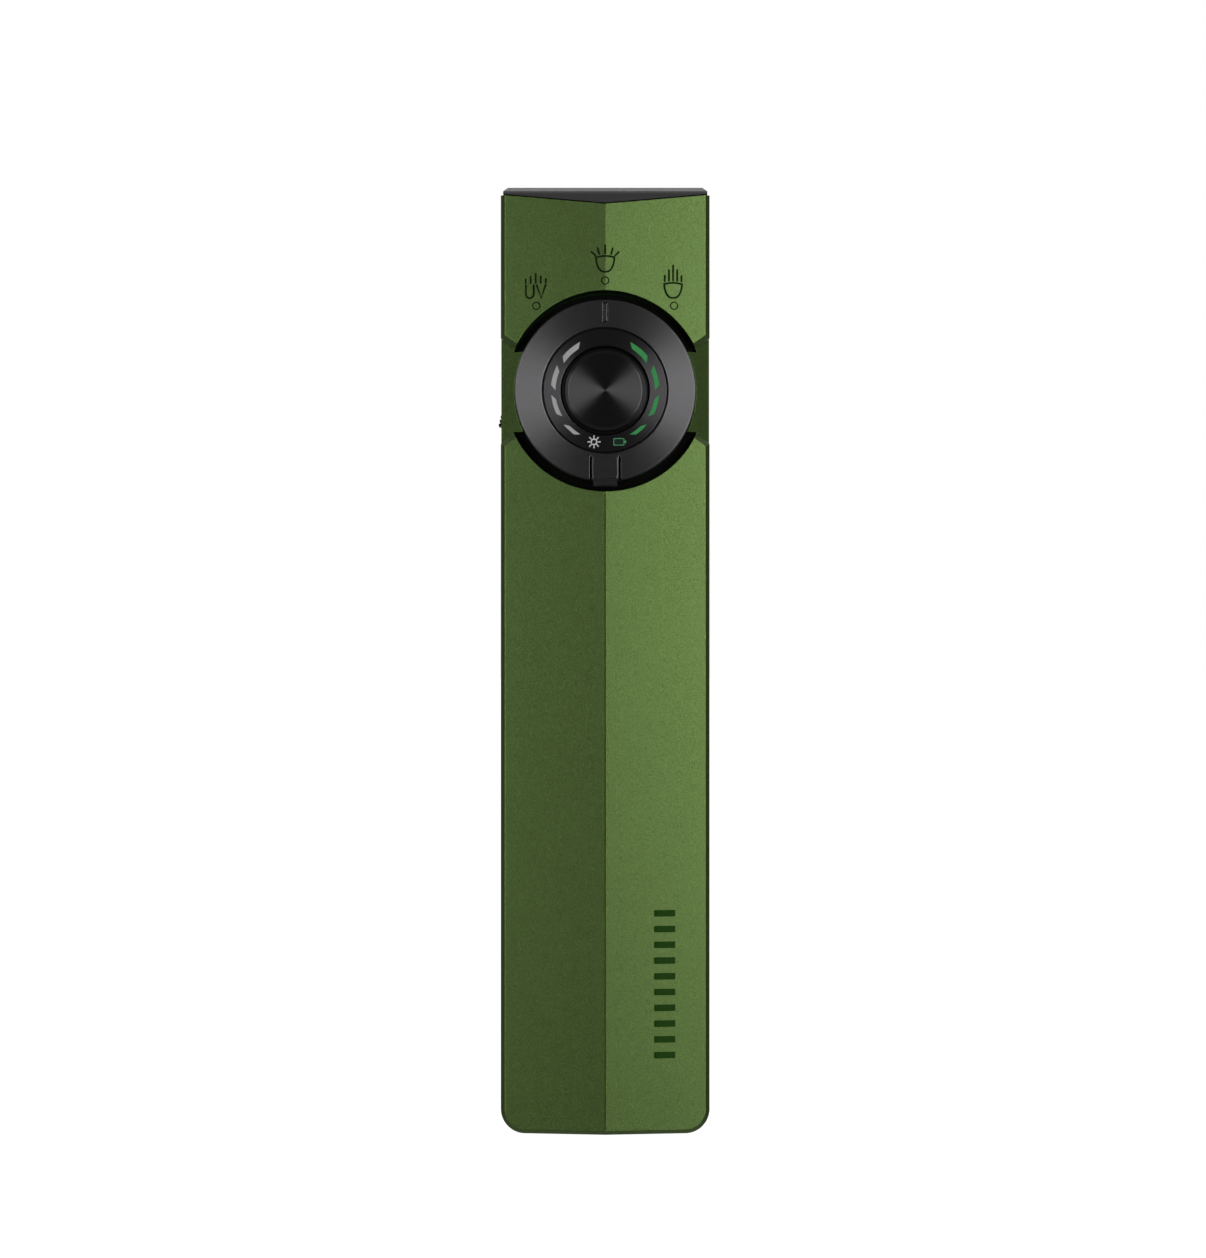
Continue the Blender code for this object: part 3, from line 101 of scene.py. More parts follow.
class Look:
    """A Principled material whose colour, roughness and bump come from node textures."""

    def __init__(self, name, colour, roughness, metallic=0.0, **constants):
        self.material = bpy.data.materials.new(name)
        self.material.use_nodes = True
        self.tree = self.material.node_tree
        self.shader = self.tree.nodes["Principled BSDF"]
        self.colour = (*colour, 1)
        self.shader.inputs["Base Color"].default_value = self.colour
        self.shader.inputs["Roughness"].default_value = self.roughness = roughness
        self.shader.inputs["Metallic"].default_value = metallic
        for socket, value in constants.items():
            self.shader.inputs[socket.replace("_", " ")].default_value = value
        self.place = self.node("ShaderNodeTexCoord").outputs["Object"]
        self.normal = None

    def node(self, kind, **settings):
        made = self.tree.nodes.new(kind)
        for key, value in settings.items():
            setattr(made, key, value)
        return made

    def link(self, start, end):
        self.tree.links.new(start, end)

    def stretched(self, stretch):
        mapping = self.node("ShaderNodeMapping")
        mapping.inputs["Scale"].default_value = stretch
        self.link(self.place, mapping.inputs["Vector"])
        return mapping.outputs["Vector"]

    def noise(self, scale, detail=3.0, stretch=(1, 1, 1)):
        texture = self.node("ShaderNodeTexNoise")
        texture.inputs["Scale"].default_value = scale
        texture.inputs["Detail"].default_value = detail
        self.link(self.stretched(stretch), texture.inputs["Vector"])
        return texture.outputs["Fac"]

    def spread(self, value, low, high):
        """Stretches the middle of a texture's range to run from low to high."""
        ranged = self.node("ShaderNodeMapRange")
        set_range(ranged, 0.3, 0.7, low, high)
        self.link(value, ranged.inputs["Value"])
        return ranged.outputs["Result"]

    def mottle(self, value, low, high):
        """Multiplies the colour by a texture that runs from low to high."""
        mix = self.node("ShaderNodeMix", data_type="RGBA", blend_type="MULTIPLY")
        mix.inputs["Factor"].default_value = 1
        source = self.shader.inputs["Base Color"]
        if source.is_linked:
            self.link(source.links[0].from_socket, mix.inputs["A"])
        else:
            mix.inputs["A"].default_value = self.colour
        self.link(self.spread(value, low, high), mix.inputs["B"])
        self.link(mix.outputs["Result"], source)
        return self

    def rub(self, value, amount):
        """Varies the roughness by a texture."""
        self.link(self.spread(value, self.roughness - amount, self.roughness + amount),
                  self.shader.inputs["Roughness"])
        return self

    def bump(self, height, strength, distance):
        """Adds relief on top of any that the material already has."""
        made = self.node("ShaderNodeBump")
        made.inputs["Strength"].default_value = strength
        made.inputs["Distance"].default_value = distance
        self.link(height, made.inputs["Height"])
        if self.normal:
            self.link(self.normal, made.inputs["Normal"])
        self.normal = made.outputs["Normal"]
        self.link(self.normal, self.shader.inputs["Normal"])
        return self

    def radius(self):
        """Distance from the local Z axis."""
        flat = self.node("ShaderNodeVectorMath", operation="MULTIPLY")
        flat.inputs[1].default_value = (1, 1, 0)
        self.link(self.place, flat.inputs[0])
        length = self.node("ShaderNodeVectorMath", operation="LENGTH")
        self.link(flat.outputs["Vector"], length.inputs[0])
        return length.outputs["Value"]

    def rings(self, scale):
        """Concentric turning marks round the local Z axis."""
        texture = self.node("ShaderNodeTexNoise", noise_dimensions="1D")
        texture.inputs["Scale"].default_value = scale
        texture.inputs["Detail"].default_value = 2
        self.link(self.radius(), texture.inputs["W"])
        return texture.outputs["Fac"]

    def turned(self, amount):
        """Stretches highlights the way a lathe finish round the local Z axis does."""
        tangent = self.node("ShaderNodeTangent", direction_type="RADIAL", axis="Z")
        self.link(tangent.outputs["Tangent"], self.shader.inputs["Tangent"])
        self.shader.inputs["Anisotropic"].default_value = amount
        self.shader.inputs["Anisotropic Rotation"].default_value = 0.25
        return self


def blasted(name, colour, roughness, metallic, *, depth, grain=5200, tone=0.05):
    """Bead-blasted and anodised aluminium: a fine even grain with a slight sparkle."""
    look = Look(name, colour, roughness, metallic)
    fine = look.noise(grain, 2)
    look.mottle(fine, 1 - tone, 1 + tone).mottle(look.noise(90, 2), 0.985, 1.015)
    look.rub(look.noise(grain * 0.6, 1), 0.03)
    return look.bump(fine, 0.5, depth)


def make_materials():
    looks = {}
    looks["green"] = blasted("green_anodised", (0.082, 0.133, 0.038), 0.38, 0.92, depth=0.022 * MM, tone=0.2)
    # Near-black green: the inside of the engraved strokes, and painted shade on the walls of the recess round
    # the dial.
    looks["engraved"] = blasted("engraved_green", (0.005, 0.014, 0.003), 0.8, 0.0, depth=0.004 * MM)
    looks["engraved"].shader.inputs["Specular IOR Level"].default_value = 0.06
    looks["etched"] = blasted("etched_green", (0.009, 0.034, 0.003), 0.8, 0.0, depth=0.004 * MM)
    looks["etched"].shader.inputs["Specular IOR Level"].default_value = 0.06
    looks["bezel"] = blasted("black_bezel", (0.0028, 0.0025, 0.0030), 0.42, 0.95, depth=0.006 * MM, tone=0.12)
    ring = blasted("black_ring", (0.105, 0.103, 0.106), 0.36, 1.0, grain=6500, depth=0.003 * MM, tone=0.08)
    looks["ring"] = ring.turned(0.75)
    cover = Look("smoked_cover", (0.066, 0.064, 0.067), 0.30, 1.0).turned(0.8)
    cover.mottle(cover.rings(9000), 0.94, 1.06)
    looks["cover"] = cover.bump(cover.rings(14000), 0.3, 0.002 * MM)
    button = Look("spun_black", (0.062, 0.061, 0.062), 0.26, 1.0).turned(0.93)
    button.mottle(button.rings(7000), 0.88, 1.12)
    looks["button"] = button.bump(button.rings(12000), 0.4, 0.002 * MM)
    # A lighter copy of the bezel's black for its top chamfer: painted highlight where the chamfer catches the
    # light.
    looks["rim"] = blasted("rim_black", (0.050, 0.0495, 0.0503), 0.45, 0.8, depth=0.004 * MM, tone=0.1)
    steel = (0.035, 0.035, 0.036)
    looks["black_steel"] = blasted("black_steel", steel, 0.34, 0.8, depth=0.004 * MM, tone=0.08)
    # Near-black with almost no sheen: the dial seat's own black, darkened further as painted shade in the gap
    # round the ring, and painted shade in the ring's grooves and pointer line.
    seat = blasted("black_seat", (0.0015, 0.002, 0.0012), 0.75, 0.0, depth=0.004 * MM)
    seat.shader.inputs["Specular IOR Level"].default_value = 0.04
    looks["seat"] = seat
    plastic = Look("black_plastic", (0.018, 0.018, 0.019), 0.42)
    plastic.mottle(plastic.noise(1500), 0.9, 1.1).bump(plastic.noise(7000), 0.3, 0.006 * MM)
    looks["plastic"] = plastic
    rubber = Look("black_rubber", (0.012, 0.012, 0.012), 0.7)
    rubber.mottle(rubber.noise(2500), 0.85, 1.15).bump(rubber.noise(4000), 0.3, 0.01 * MM)
    looks["rubber"] = rubber
    glass = Look("window_glass", (1, 1, 1), 0.02, IOR=1.5, Transmission_Weight=1.0)
    looks["glass"] = glass.mottle(glass.noise(300), 0.985, 1.0)
    optic = Look("clear_optic", (0.97, 0.98, 1.0), 0.03, IOR=1.49, Transmission_Weight=1.0)
    looks["optic"] = optic.mottle(optic.noise(500), 0.98, 1.0)
    frosted = Look("frosted_optic", (0.98, 0.98, 0.98), 0.28, IOR=1.49, Transmission_Weight=0.9)
    looks["frosted"] = frosted.bump(frosted.noise(5000), 0.4, 0.02 * MM)
    phosphor = Look("led_phosphor", (0.82, 0.62, 0.10), 0.55)
    looks["phosphor"] = phosphor.mottle(phosphor.noise(9000), 0.9, 1.1)
    violet = Look("uv_die", (0.30, 0.24, 0.55), 0.3)
    looks["violet"] = violet.mottle(violet.noise(6000), 0.9, 1.1)
    for name, colour, roughness in (
        ("chrome", (0.86, 0.86, 0.87), 0.06),
        ("copper", (0.83, 0.44, 0.30), 0.34),
        ("gold", (0.85, 0.60, 0.24), 0.22),
        ("brass", (0.70, 0.52, 0.24), 0.28),
        ("steel", (0.50, 0.50, 0.51), 0.30),
        ("magnet", (0.55, 0.55, 0.57), 0.22),
    ):
        metal = Look(name, colour, roughness, 1.0)
        metal.mottle(metal.noise(1200), 0.93, 1.05).rub(metal.noise(2600), 0.04)
        looks[name] = metal.bump(metal.noise(8000), 0.2, 0.003 * MM)
    for name, colour, roughness in (
        ("white_plastic", (0.75, 0.75, 0.73), 0.4),
        ("board_white", (0.78, 0.78, 0.75), 0.45),
        ("battery_wrap", (0.03, 0.07, 0.24), 0.3),
        ("foam", (0.05, 0.05, 0.05), 0.9),
        ("red_wire", (0.42, 0.02, 0.02), 0.4),
        ("black_wire", (0.02, 0.02, 0.02), 0.4),
    ):
        look = Look(name, colour, roughness)
        looks[name] = look.mottle(look.noise(900), 0.9, 1.06).bump(look.noise(3500), 0.2, 0.01 * MM)
    board = Look("circuit_board", (0.015, 0.10, 0.035), 0.35)
    board.mottle(board.noise(1400, 1, (1, 1, 0.2)), 0.55, 1.4)
    looks["board"] = board.bump(board.noise(1400, 1), 0.3, 0.03 * MM)
    for name, colour in (
        ("bar_white", (0.25, 0.25, 0.25)),
        ("bar_green", (0.026, 0.176, 0.049)),
        ("icon_white", (0.42, 0.42, 0.42)),
        ("icon_green", (0.045, 0.170, 0.080)),
        ("icon_dark", (0.001, 0.010, 0.003)),
    ):
        look = Look(name, colour, 0.45, Specular_IOR_Level=0.15)
        looks[name] = look.mottle(look.noise(5200), 0.93, 1.07).bump(look.noise(7000), 0.2, 0.004 * MM)
    return {name: look.material for name, look in looks.items()}


LOOKS = make_materials()


# ---- Shapes ------------
def new_object(name, mesh, location=(0, 0, 0), rotation=(0, 0, 0)):
    obj = bpy.data.objects.new(name, mesh)
    obj.location, obj.rotation_euler = location, rotation
    bpy.context.scene.collection.objects.link(obj)
    return obj


def finished(bm, name, location=(0, 0, 0), rotation=(0, 0, 0)):
    """A new object from a bmesh, which is then freed."""
    mesh = bpy.data.meshes.new(name)
    bm.to_mesh(mesh)
    bm.free()
    return new_object(name, mesh, location, rotation)


def paint(obj, *looks):
    obj.data.materials.clear()
    for look in looks:
        obj.data.materials.append(LOOKS[look])
    return obj


def evaluated(obj):
    graph = bpy.context.evaluated_depsgraph_get()
    return bpy.data.meshes.new_from_object(obj.evaluated_get(graph))


def applied(obj):
    """Replaces the object's mesh by what its modifiers give."""
    mesh = evaluated(obj)
    obj.modifiers.clear()
    old, obj.data = obj.data, mesh
    bpy.data.meshes.remove(old)
    return obj


def combine(obj, others, operation):
    for other in others:
        modifier = obj.modifiers.new("combine", "BOOLEAN")
        modifier.operation, modifier.object, modifier.material_mode = operation, other, "TRANSFER"
    applied(obj)
    for other in others:
        bpy.data.objects.remove(other)
    return obj


def cut(obj, *others):
    return combine(obj, others, "DIFFERENCE")


def join(obj, *others):
    return combine(obj, others, "UNION")


def cleaned(obj):
    bm = bmesh.new()
    bm.from_mesh(obj.data)
    bmesh.ops.remove_doubles(bm, verts=bm.verts, dist=WELD)
    bmesh.ops.dissolve_limit(bm, angle_limit=math.radians(0.4), verts=bm.verts, edges=bm.edges)
    bmesh.ops.recalc_face_normals(bm, faces=bm.faces)
    bm.to_mesh(obj.data)
    bm.free()
    return obj


def eased(obj, width, angle=28):
    """Rounds every edge sharper than angle by a small radius."""
    bevel = obj.modifiers.new("ease", "BEVEL")
    bevel.width, bevel.segments = width, 2
    bevel.limit_method, bevel.angle_limit = "ANGLE", math.radians(angle)
    bevel.miter_outer, bevel.use_clamp_overlap = "MITER_ARC", False
    return cleaned(applied(obj))


def flat_areas(bm):
    """For each face, the area of the whole flat patch that it belongs to."""
    areas = {}
    for face in bm.faces:
        if face in areas:
            continue
        patch, waiting = {face}, [face]
        while waiting:
            for edge in waiting.pop().edges:
                if len(edge.link_faces) == 2 and edge.calc_face_angle() < FLAT:
                    fresh = set(edge.link_faces) - patch
                    patch |= fresh
                    waiting += fresh
        area = sum(member.calc_area() for member in patch)
        areas.update(dict.fromkeys(patch, area))
    return areas


def smooth(obj, angle=30):
    """Shades the mesh smooth up to an angle, and keeps each large flat patch flat to its edge."""
    bm = bmesh.new()
    bm.from_mesh(obj.data)
    bm.normal_update()
    limit = math.radians(angle)
    areas = flat_areas(bm)
    normals = []
    for face in bm.faces:
        for loop in face.loops:
            fan, waiting = {face}, [face]
            while waiting:
                here = waiting.pop()
                for edge in loop.vert.link_edges:
                    paired = here in edge.link_faces and len(edge.link_faces) == 2
                    if paired and edge.calc_face_angle() < limit:
                        fresh = set(edge.link_faces) - fan
                        fan |= fresh
                        waiting += fresh
            largest = max(areas[member] for member in fan) or 1
            weighted = (member.normal * (areas[member] / largest) ** 2 for member in fan)
            normals.append(sum(weighted, Vector()).normalized())
    bm.free()
    obj.data.shade_smooth()
    obj.data.normals_split_custom_set(normals)
    return obj


def arc(centre, radius, start, end, steps):
    angles = [math.radians(start + (end - start) * i / steps) for i in range(steps + 1)]
    return [(centre[0] + radius * math.cos(a), centre[1] + radius * math.sin(a)) for a in angles]


def circle_line(centre, outer, inner, steps):
    """The two outlines of a round line."""
    return [arc(centre, radius, 0, 360, steps)[:-1] for radius in (outer, inner)]


def rounded_rectangle(low, high, radius, steps=8):
    inner_low, inner_high = (low[0] + radius, low[1] + radius), (high[0] - radius, high[1] - radius)
    return (
        arc((inner_high[0], inner_low[1]), radius, -90, 0, steps)
        + arc(inner_high, radius, 0, 90, steps)
        + arc((inner_low[0], inner_high[1]), radius, 90, 180, steps)
        + arc(inner_low, radius, 180, 270, steps)
    )


def centred(half_x, half_y, radius, centre=(0, 0), steps=8):
    low = (centre[0] - half_x, centre[1] - half_y)
    return rounded_rectangle(low, (centre[0] + half_x, centre[1] + half_y), radius, steps)


TURNS = {"Z": (0, 0, 0), "Y": (math.pi / 2, 0, 0), "X": (math.pi / 2, 0, math.pi / 2)}


def frame_of(location, rotation):
    return Matrix.LocRotScale(Vector(location), Euler(rotation), None)


def extruded(name, outlines, low, high, axis="Z", location=(0, 0, 0), rotation=(0, 0, 0)):
    """A flat outline, with any holes after it, drawn out along a local axis."""
    curve = bpy.data.curves.new(name, "CURVE")
    curve.dimensions, curve.fill_mode = "2D", "BOTH"
    curve.extrude = (high - low) / 2
    for outline in outlines:
        spline = curve.splines.new("POLY")
        spline.points.add(len(outline) - 1)
        for point, (x, y) in zip(spline.points, outline):
            point.co = (x, y, 0, 1)
        spline.use_cyclic_u = True
    guide = new_object(name, curve)
    mesh = evaluated(guide)
    bpy.data.objects.remove(guide)
    middle = Vector((0, 0, 0))
    middle["XYZ".index(axis)] = (low + high) / 2
    mesh.transform(frame_of(middle, TURNS[axis]))
    return cleaned(new_object(name, mesh, location, rotation))


def lathe(name, profile, segments=160, location=(0, 0, 0), rotation=(0, 0, 0)):
    """A profile of (radius, height) points turned about local Z.

    It closes on itself unless it starts on the axis.
    """
    bm = bmesh.new()
    rings = []
    for radius, height in profile:
        if radius <= 0:
            rings.append([bm.verts.new((0, 0, height))] * segments)
        else:
            turns = [math.tau * i / segments for i in range(segments)]
            rings.append([bm.verts.new((radius * math.cos(t), radius * math.sin(t), height)) for t in turns])
    pairs = list(zip(rings, rings[1:]))
    if profile[0][0] > 0:
        pairs.append((rings[-1], rings[0]))
    for above, below in pairs:
        for i in range(segments):
            j = (i + 1) % segments
            corners = dict.fromkeys((above[i], below[i], below[j], above[j]))
            if len(corners) > 2:
                bm.faces.new(list(corners))
    bmesh.ops.recalc_face_normals(bm, faces=bm.faces)
    return finished(bm, name, location, rotation)


def filleted(profile, radius):
    """The profile with its inner corners rounded; short sides get a smaller radius."""
    points = [Vector(point) for point in profile]
    closed = profile[0][0] > 0
    steps = 3
    made = []
    for i, here in enumerate(points):
        if not closed and i in (0, len(points) - 1):
            made.append(tuple(here))
            continue
        before, after = points[i - 1] - here, points[(i + 1) % len(points)] - here
        reach = min(radius, before.length * 0.45, after.length * 0.45)
        start, end = here + before.normalized() * reach, here + after.normalized() * reach
        for k in range(steps + 1):
            t = k / steps
            made.append(tuple((1 - t) ** 2 * start + 2 * t * (1 - t) * here + t**2 * end))
    return made


def tube_profile(inner, outer, low, high):
    return [(inner, high), (outer, high), (outer, low), (inner, low)]


def bar(name, radius, low, high, centre=(0, 0), axis="Z", segments=64,
        location=(0, 0, 0), rotation=(0, 0, 0)):
    """A round bar along a local axis."""
    bm = bmesh.new()
    bmesh.ops.create_cone(bm, cap_ends=True, segments=segments, radius1=radius, radius2=radius,
                          depth=high - low)
    middle = list(centre)
    middle.insert("XYZ".index(axis), (low + high) / 2)
    bmesh.ops.transform(bm, matrix=frame_of(middle, TURNS[axis]), verts=bm.verts)
    return finished(bm, name, location, rotation)


def block(name, low, high, location=(0, 0, 0), rotation=(0, 0, 0)):
    low, high = Vector(low), Vector(high)
    bm = bmesh.new()
    place = Matrix.Translation((low + high) / 2) @ Matrix.Diagonal((*(high - low), 1))
    bmesh.ops.create_cube(bm, size=1, matrix=place)
    return finished(bm, name, location, rotation)


def refined(name, node, look, ease, body="housing"):
    """A finer copy of a CAD node with eased edges, which stands for it."""
    obj = cleaned(new_object(name, frame["nodes"][node].data.copy()))
    eased(obj, ease)
    return placed(smooth(paint(obj, look)), body, node)


def placed(obj, body, *nodes):
    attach(obj, body)
    if nodes:
        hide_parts(*nodes)
    return obj


def front_y(x):
    return RIDGE_Y + FRONT_SLOPE * abs(x)


# ---- Housing ------------
def bevel_edges(obj, chosen, width, segments=1):
    bm = bmesh.new()
    bm.from_mesh(obj.data)
    edges = [e for e in bm.edges if chosen(*[v.co for v in e.verts])]
    bmesh.ops.bevel(bm, geom=edges, offset=width, offset_type="OFFSET", segments=segments, profile=0.5,
                    affect="EDGES")
    bm.to_mesh(obj.data)
    bm.free()


def housing_blank():
    section = [
        (0, RIDGE_Y),
        (HALF_WIDTH, front_y(HALF_WIDTH)),
        (HALF_WIDTH, BACK_Y),
        (-HALF_WIDTH, BACK_Y),
        (-HALF_WIDTH, front_y(HALF_WIDTH)),
    ]
    blank = extruded("housing", [section], 0, BODY_TOP)
    near = 1e-5
    edge = HALF_WIDTH - near
    tail_corner, front_chamfer, back_round, ridge_round = 3.05 * MM, 0.55 * MM, 1.4 * MM, 0.07 * MM

    def tail_corners(a, b):
        at_side = min(abs(a.x), abs(b.x)) > edge and abs(a.x - b.x) < near
        return max(a.z, b.z) < near and at_side

    def back_rim(a, b):
        return min(a.y, b.y) > BACK_Y - near and min(a.z, b.z) < BODY_TOP - near

    def ridge(a, b):
        return max(abs(a.x), abs(b.x)) < near and max(a.y, b.y) < RIDGE_Y + MM

    def front_rim(a, b):
        on_front = all(abs(p.y - front_y(p.x)) < near for p in (a, b))
        on_ridge = abs(a.x) < near and abs(b.x) < near
        return on_front and not on_ridge and min(a.z, b.z) < BODY_TOP - near

    bevel_edges(blank, tail_corners, tail_corner, 20)
    bevel_edges(blank, front_rim, front_chamfer)
    bevel_edges(blank, back_rim, back_round, 8)
    bevel_edges(blank, ridge, ridge_round, 2)
    return blank


def notch(side):
    """Finger notch beside the dial: a floor that falls outwards, and ends chamfered along the front facet."""
    half_at_edge, spread, draft = 6.0 * MM, 0.8, 1.0
    edge_x, edge_height, floor_at_edge, floor_fall = 11.3 * MM, 1.75 * MM, 1.05 * MM, 0.78
    near_x, far_x, top = 10.3 * MM, 14.4 * MM, 2.4 * MM
    middle = 0.15 * MM

    def floor(x):
        return floor_at_edge - floor_fall * (x - edge_x)

    def half(x, height):
        return half_at_edge + spread * (x - edge_x) + draft * (height - edge_height)

    chamfer_foot = floor_at_edge - FRONT_SLOPE * (far_x - edge_x)
    foot_half = half(far_x, chamfer_foot)
    near_height = edge_height + (NOTCH_HALF - half(near_x, edge_height)) / draft
    corners = [
        (near_x, NOTCH_HALF, floor(near_x)),
        (edge_x, NOTCH_HALF, floor_at_edge),
        (far_x, foot_half, floor(far_x)),
        (near_x, NOTCH_HALF, near_height),
        (far_x, foot_half, chamfer_foot),
        (near_x, half(near_x, top), top),
        (far_x, half(far_x, top), top),
    ]
    bm = bmesh.new()
    upper = [bm.verts.new((side * x, middle + y, z)) for x, y, z in corners]
    lower = [bm.verts.new((side * x, middle - y, z)) for x, y, z in corners]
    for end in (upper, lower):
        for face in ((0, 1, 3), (1, 2, 4), (3, 1, 4, 6, 5)):
            bm.faces.new([end[i] for i in face])
    for across in ((0, 1, 2), (5, 6), (2, 4, 6), (0, 3, 5)):
        bm.faces.new([upper[i] for i in across] + [lower[i] for i in reversed(across)])
    bmesh.ops.recalc_face_normals(bm, faces=bm.faces)
    return finished(bm, "notch", DIAL_AT, DIAL_TURN)


def recess():
    """The round recess, less the sill that each notch keeps beside the ring."""
    at = {"location": DIAL_AT, "rotation": DIAL_TURN}
    hole = bar("recess", RECESS_RADIUS, 0, 5 * MM, segments=192, **at)
    for side in (-1, 1):
        ends = sorted((side * 8 * MM, side * 14 * MM))
        sill = block("sill", (ends[0], -SILL_HALF, -MM), (ends[1], SILL_HALF, 6 * MM), **at)
        cut(sill, bar("round", RING_OUTER + 0.13 * MM, -2 * MM, 8 * MM, segments=192, **at))
        cut(hole, sill)
    return hole


def stroke_outline(points, half):
    """Outline of a line of points drawn with a round pen."""
    left, right = [], []
    points = [Vector(p) for p in points]
    for i, here in enumerate(points):
        before, after = points[max(i - 1, 0)], points[min(i + 1, len(points) - 1)]
        along = (after - before).normalized()
        side = Vector((-along.y, along.x)) * half
        left.append(tuple(here + side))
        right.append(tuple(here - side))
    start, end = (points[0] - points[1]).normalized(), (points[-1] - points[-2]).normalized()
    turn = math.degrees(math.atan2(end.y, end.x))
    cap_end = arc(points[-1], half, turn + 90, turn - 90, 4)[1:-1]
    turn = math.degrees(math.atan2(start.y, start.x))
    cap_start = arc(points[0], half, turn + 90, turn - 90, 4)[1:-1]
    return left + cap_end + right[::-1] + cap_start


ENGRAVE_DEPTH = 0.14 * MM


def engraving(outlines, middle_x, depth=ENGRAVE_DEPTH):
    """A cutter for strokes on the front, deep enough for the slope at that place."""
    floor = front_y(middle_x) + depth
    cutter = extruded("engraving", outlines, floor - 1.5 * MM, floor, "Y")
    return paint(cutter, "engraved")


def offset_outline(points, distance):
    """A closed outline, counted clockwise, moved outwards by a distance."""
    moved = []
    points = [Vector(p) for p in points]
    for before, here, after in zip([points[-1], *points], points, [*points[1:], points[0]]):
        first, second = (here - before).normalized(), (after - here).normalized()
        first, second = Vector((-first.y, first.x)), Vector((-second.y, second.x))
        moved.append(tuple(here + (first + second) * distance / (1 + first.dot(second))))
    return moved


PEN = 0.12 * MM  # half the width of an engraved line


def lamp_bowl(x, z, half, deep):
    """Outline of a lamp's bowl under a gently arched top."""
    steps = 14
    top = [(half * t, 0.16 * MM * (1 - t * t)) for t in (-1 + 2 * i / 8 for i in range(9))]
    round_side = [(half * math.cos(a) ** 0.8, -deep * math.sin(a) ** 1.1)
                  for a in (math.pi / 2 * i / steps for i in range(1, steps))]
    side = [*round_side, (0, -deep), *[(-px, pz) for px, pz in reversed(round_side)]]
    return [(x + px, z + pz) for px, pz in top + side]


def lamp_icon(x, z, half, deep, rays):
    """A lamp bowl with a fan of rays; each ray is its two ends, counted from the middle of the bowl's top."""
    bowl = lamp_bowl(x, z, half, deep)
    rim_line = [offset_outline(bowl, PEN), offset_outline(bowl, -PEN)]
    cutters = [engraving(rim_line, x + half / 2 if x else half)]
    for start, end in rays:
        for side in (-1, 1) if start[0] or end[0] else (1,):
            line = [(x + side * px * MM, z + pz * MM) for px, pz in (start, end)]
            cutters.append(engraving([stroke_outline(line, PEN)], line[0][0]))
    return cutters


def ultraviolet_icon(x, z):
    """The letters U and V under five rays."""
    tall, wide = 0.82 * MM, 0.5 * MM
    round_foot = [(x - 0.80 * MM - wide * math.cos(a), z - tall + wide - wide * math.sin(a))
                  for a in (math.pi * i / 10 for i in range(11))]
    letter_u = [(x - 0.80 * MM - wide, z + tall), *round_foot, (x - 0.80 * MM + wide, z + tall)]
    letter_v = [(x + 0.08 * MM, z + tall), (x + 0.65 * MM, z - tall), (x + 1.22 * MM, z + tall)]
    lines = [letter_u, letter_v]
    for i, high in zip(range(5), (0.5, 0.85, 1.18, 0.85, 0.5)):
        place, foot = x + (i - 2) * 0.64 * MM - 0.05 * MM, z + tall + 0.28 * MM
        lines.append([(place, foot), (place, foot + high * MM)])
    return [engraving([stroke_outline(line, PEN)], line[0][0]) for line in lines]


def mode_icons():
    """The three light modes: ultraviolet, flood and spot, each with a ring that the pointer meets."""
    cutters = lamp_icon(0.0, 111.3 * MM, 1.16 * MM, 1.85 * MM, (
        ((0, 0.48), (0, 1.5)), ((0.75, 0.43), (0.95, 1.15)), ((1.24, 0.22), (1.75, 0.7))))
    cutters += lamp_icon(8.62 * MM, 108.0 * MM, 1.13 * MM, 1.75 * MM, (
        ((0, 0.45), (0, 2.38)), ((0.52, 0.43), (0.52, 1.8)), ((1.06, 0.36), (1.06, 1.05))))
    cutters += ultraviolet_icon(-8.78 * MM, 107.05 * MM)
    radius, rise, depth = 13.9 * MM, 0.07 * MM, 0.12 * MM
    for turn in (-MODE_ANGLE, 0, MODE_ANGLE):
        place = (radius * math.sin(turn), DIAL_Z + rise + radius * math.cos(turn))
        cutters.append(engraving(circle_line(place, 0.54 * MM, 0.38 * MM, 32), place[0], depth))
    return cutters


def grip_marks():
    """A plain column of short bars low on the right facet."""
    left, right, low, pitch, half = 6.2 * MM, 8.9 * MM, 10.1 * MM, 2.0 * MM, 0.42 * MM
    bars = []
    for i in range(10):
        middle = ((left + right) / 2, low + pitch * i)
        outline = centred((right - left) / 2, half, 0.1 * MM, middle, 2)
        bars.append(paint(engraving([outline], middle[0]), "etched"))
    return bars


def ridge_line():
    """A hairline along the ridge, from the tail to the dial."""
    wide, narrow, depth = 0.09 * MM, 0.06 * MM, 0.06 * MM
    outline = [(-wide, RIDGE_Y - wide), (wide, RIDGE_Y - wide),
               (narrow, RIDGE_Y + depth), (-narrow, RIDGE_Y + depth)]
    return paint(extruded("ridge_line", [outline], 0.7 * MM, DIAL_Z - RECESS_RADIUS - 0.3 * MM), "etched")


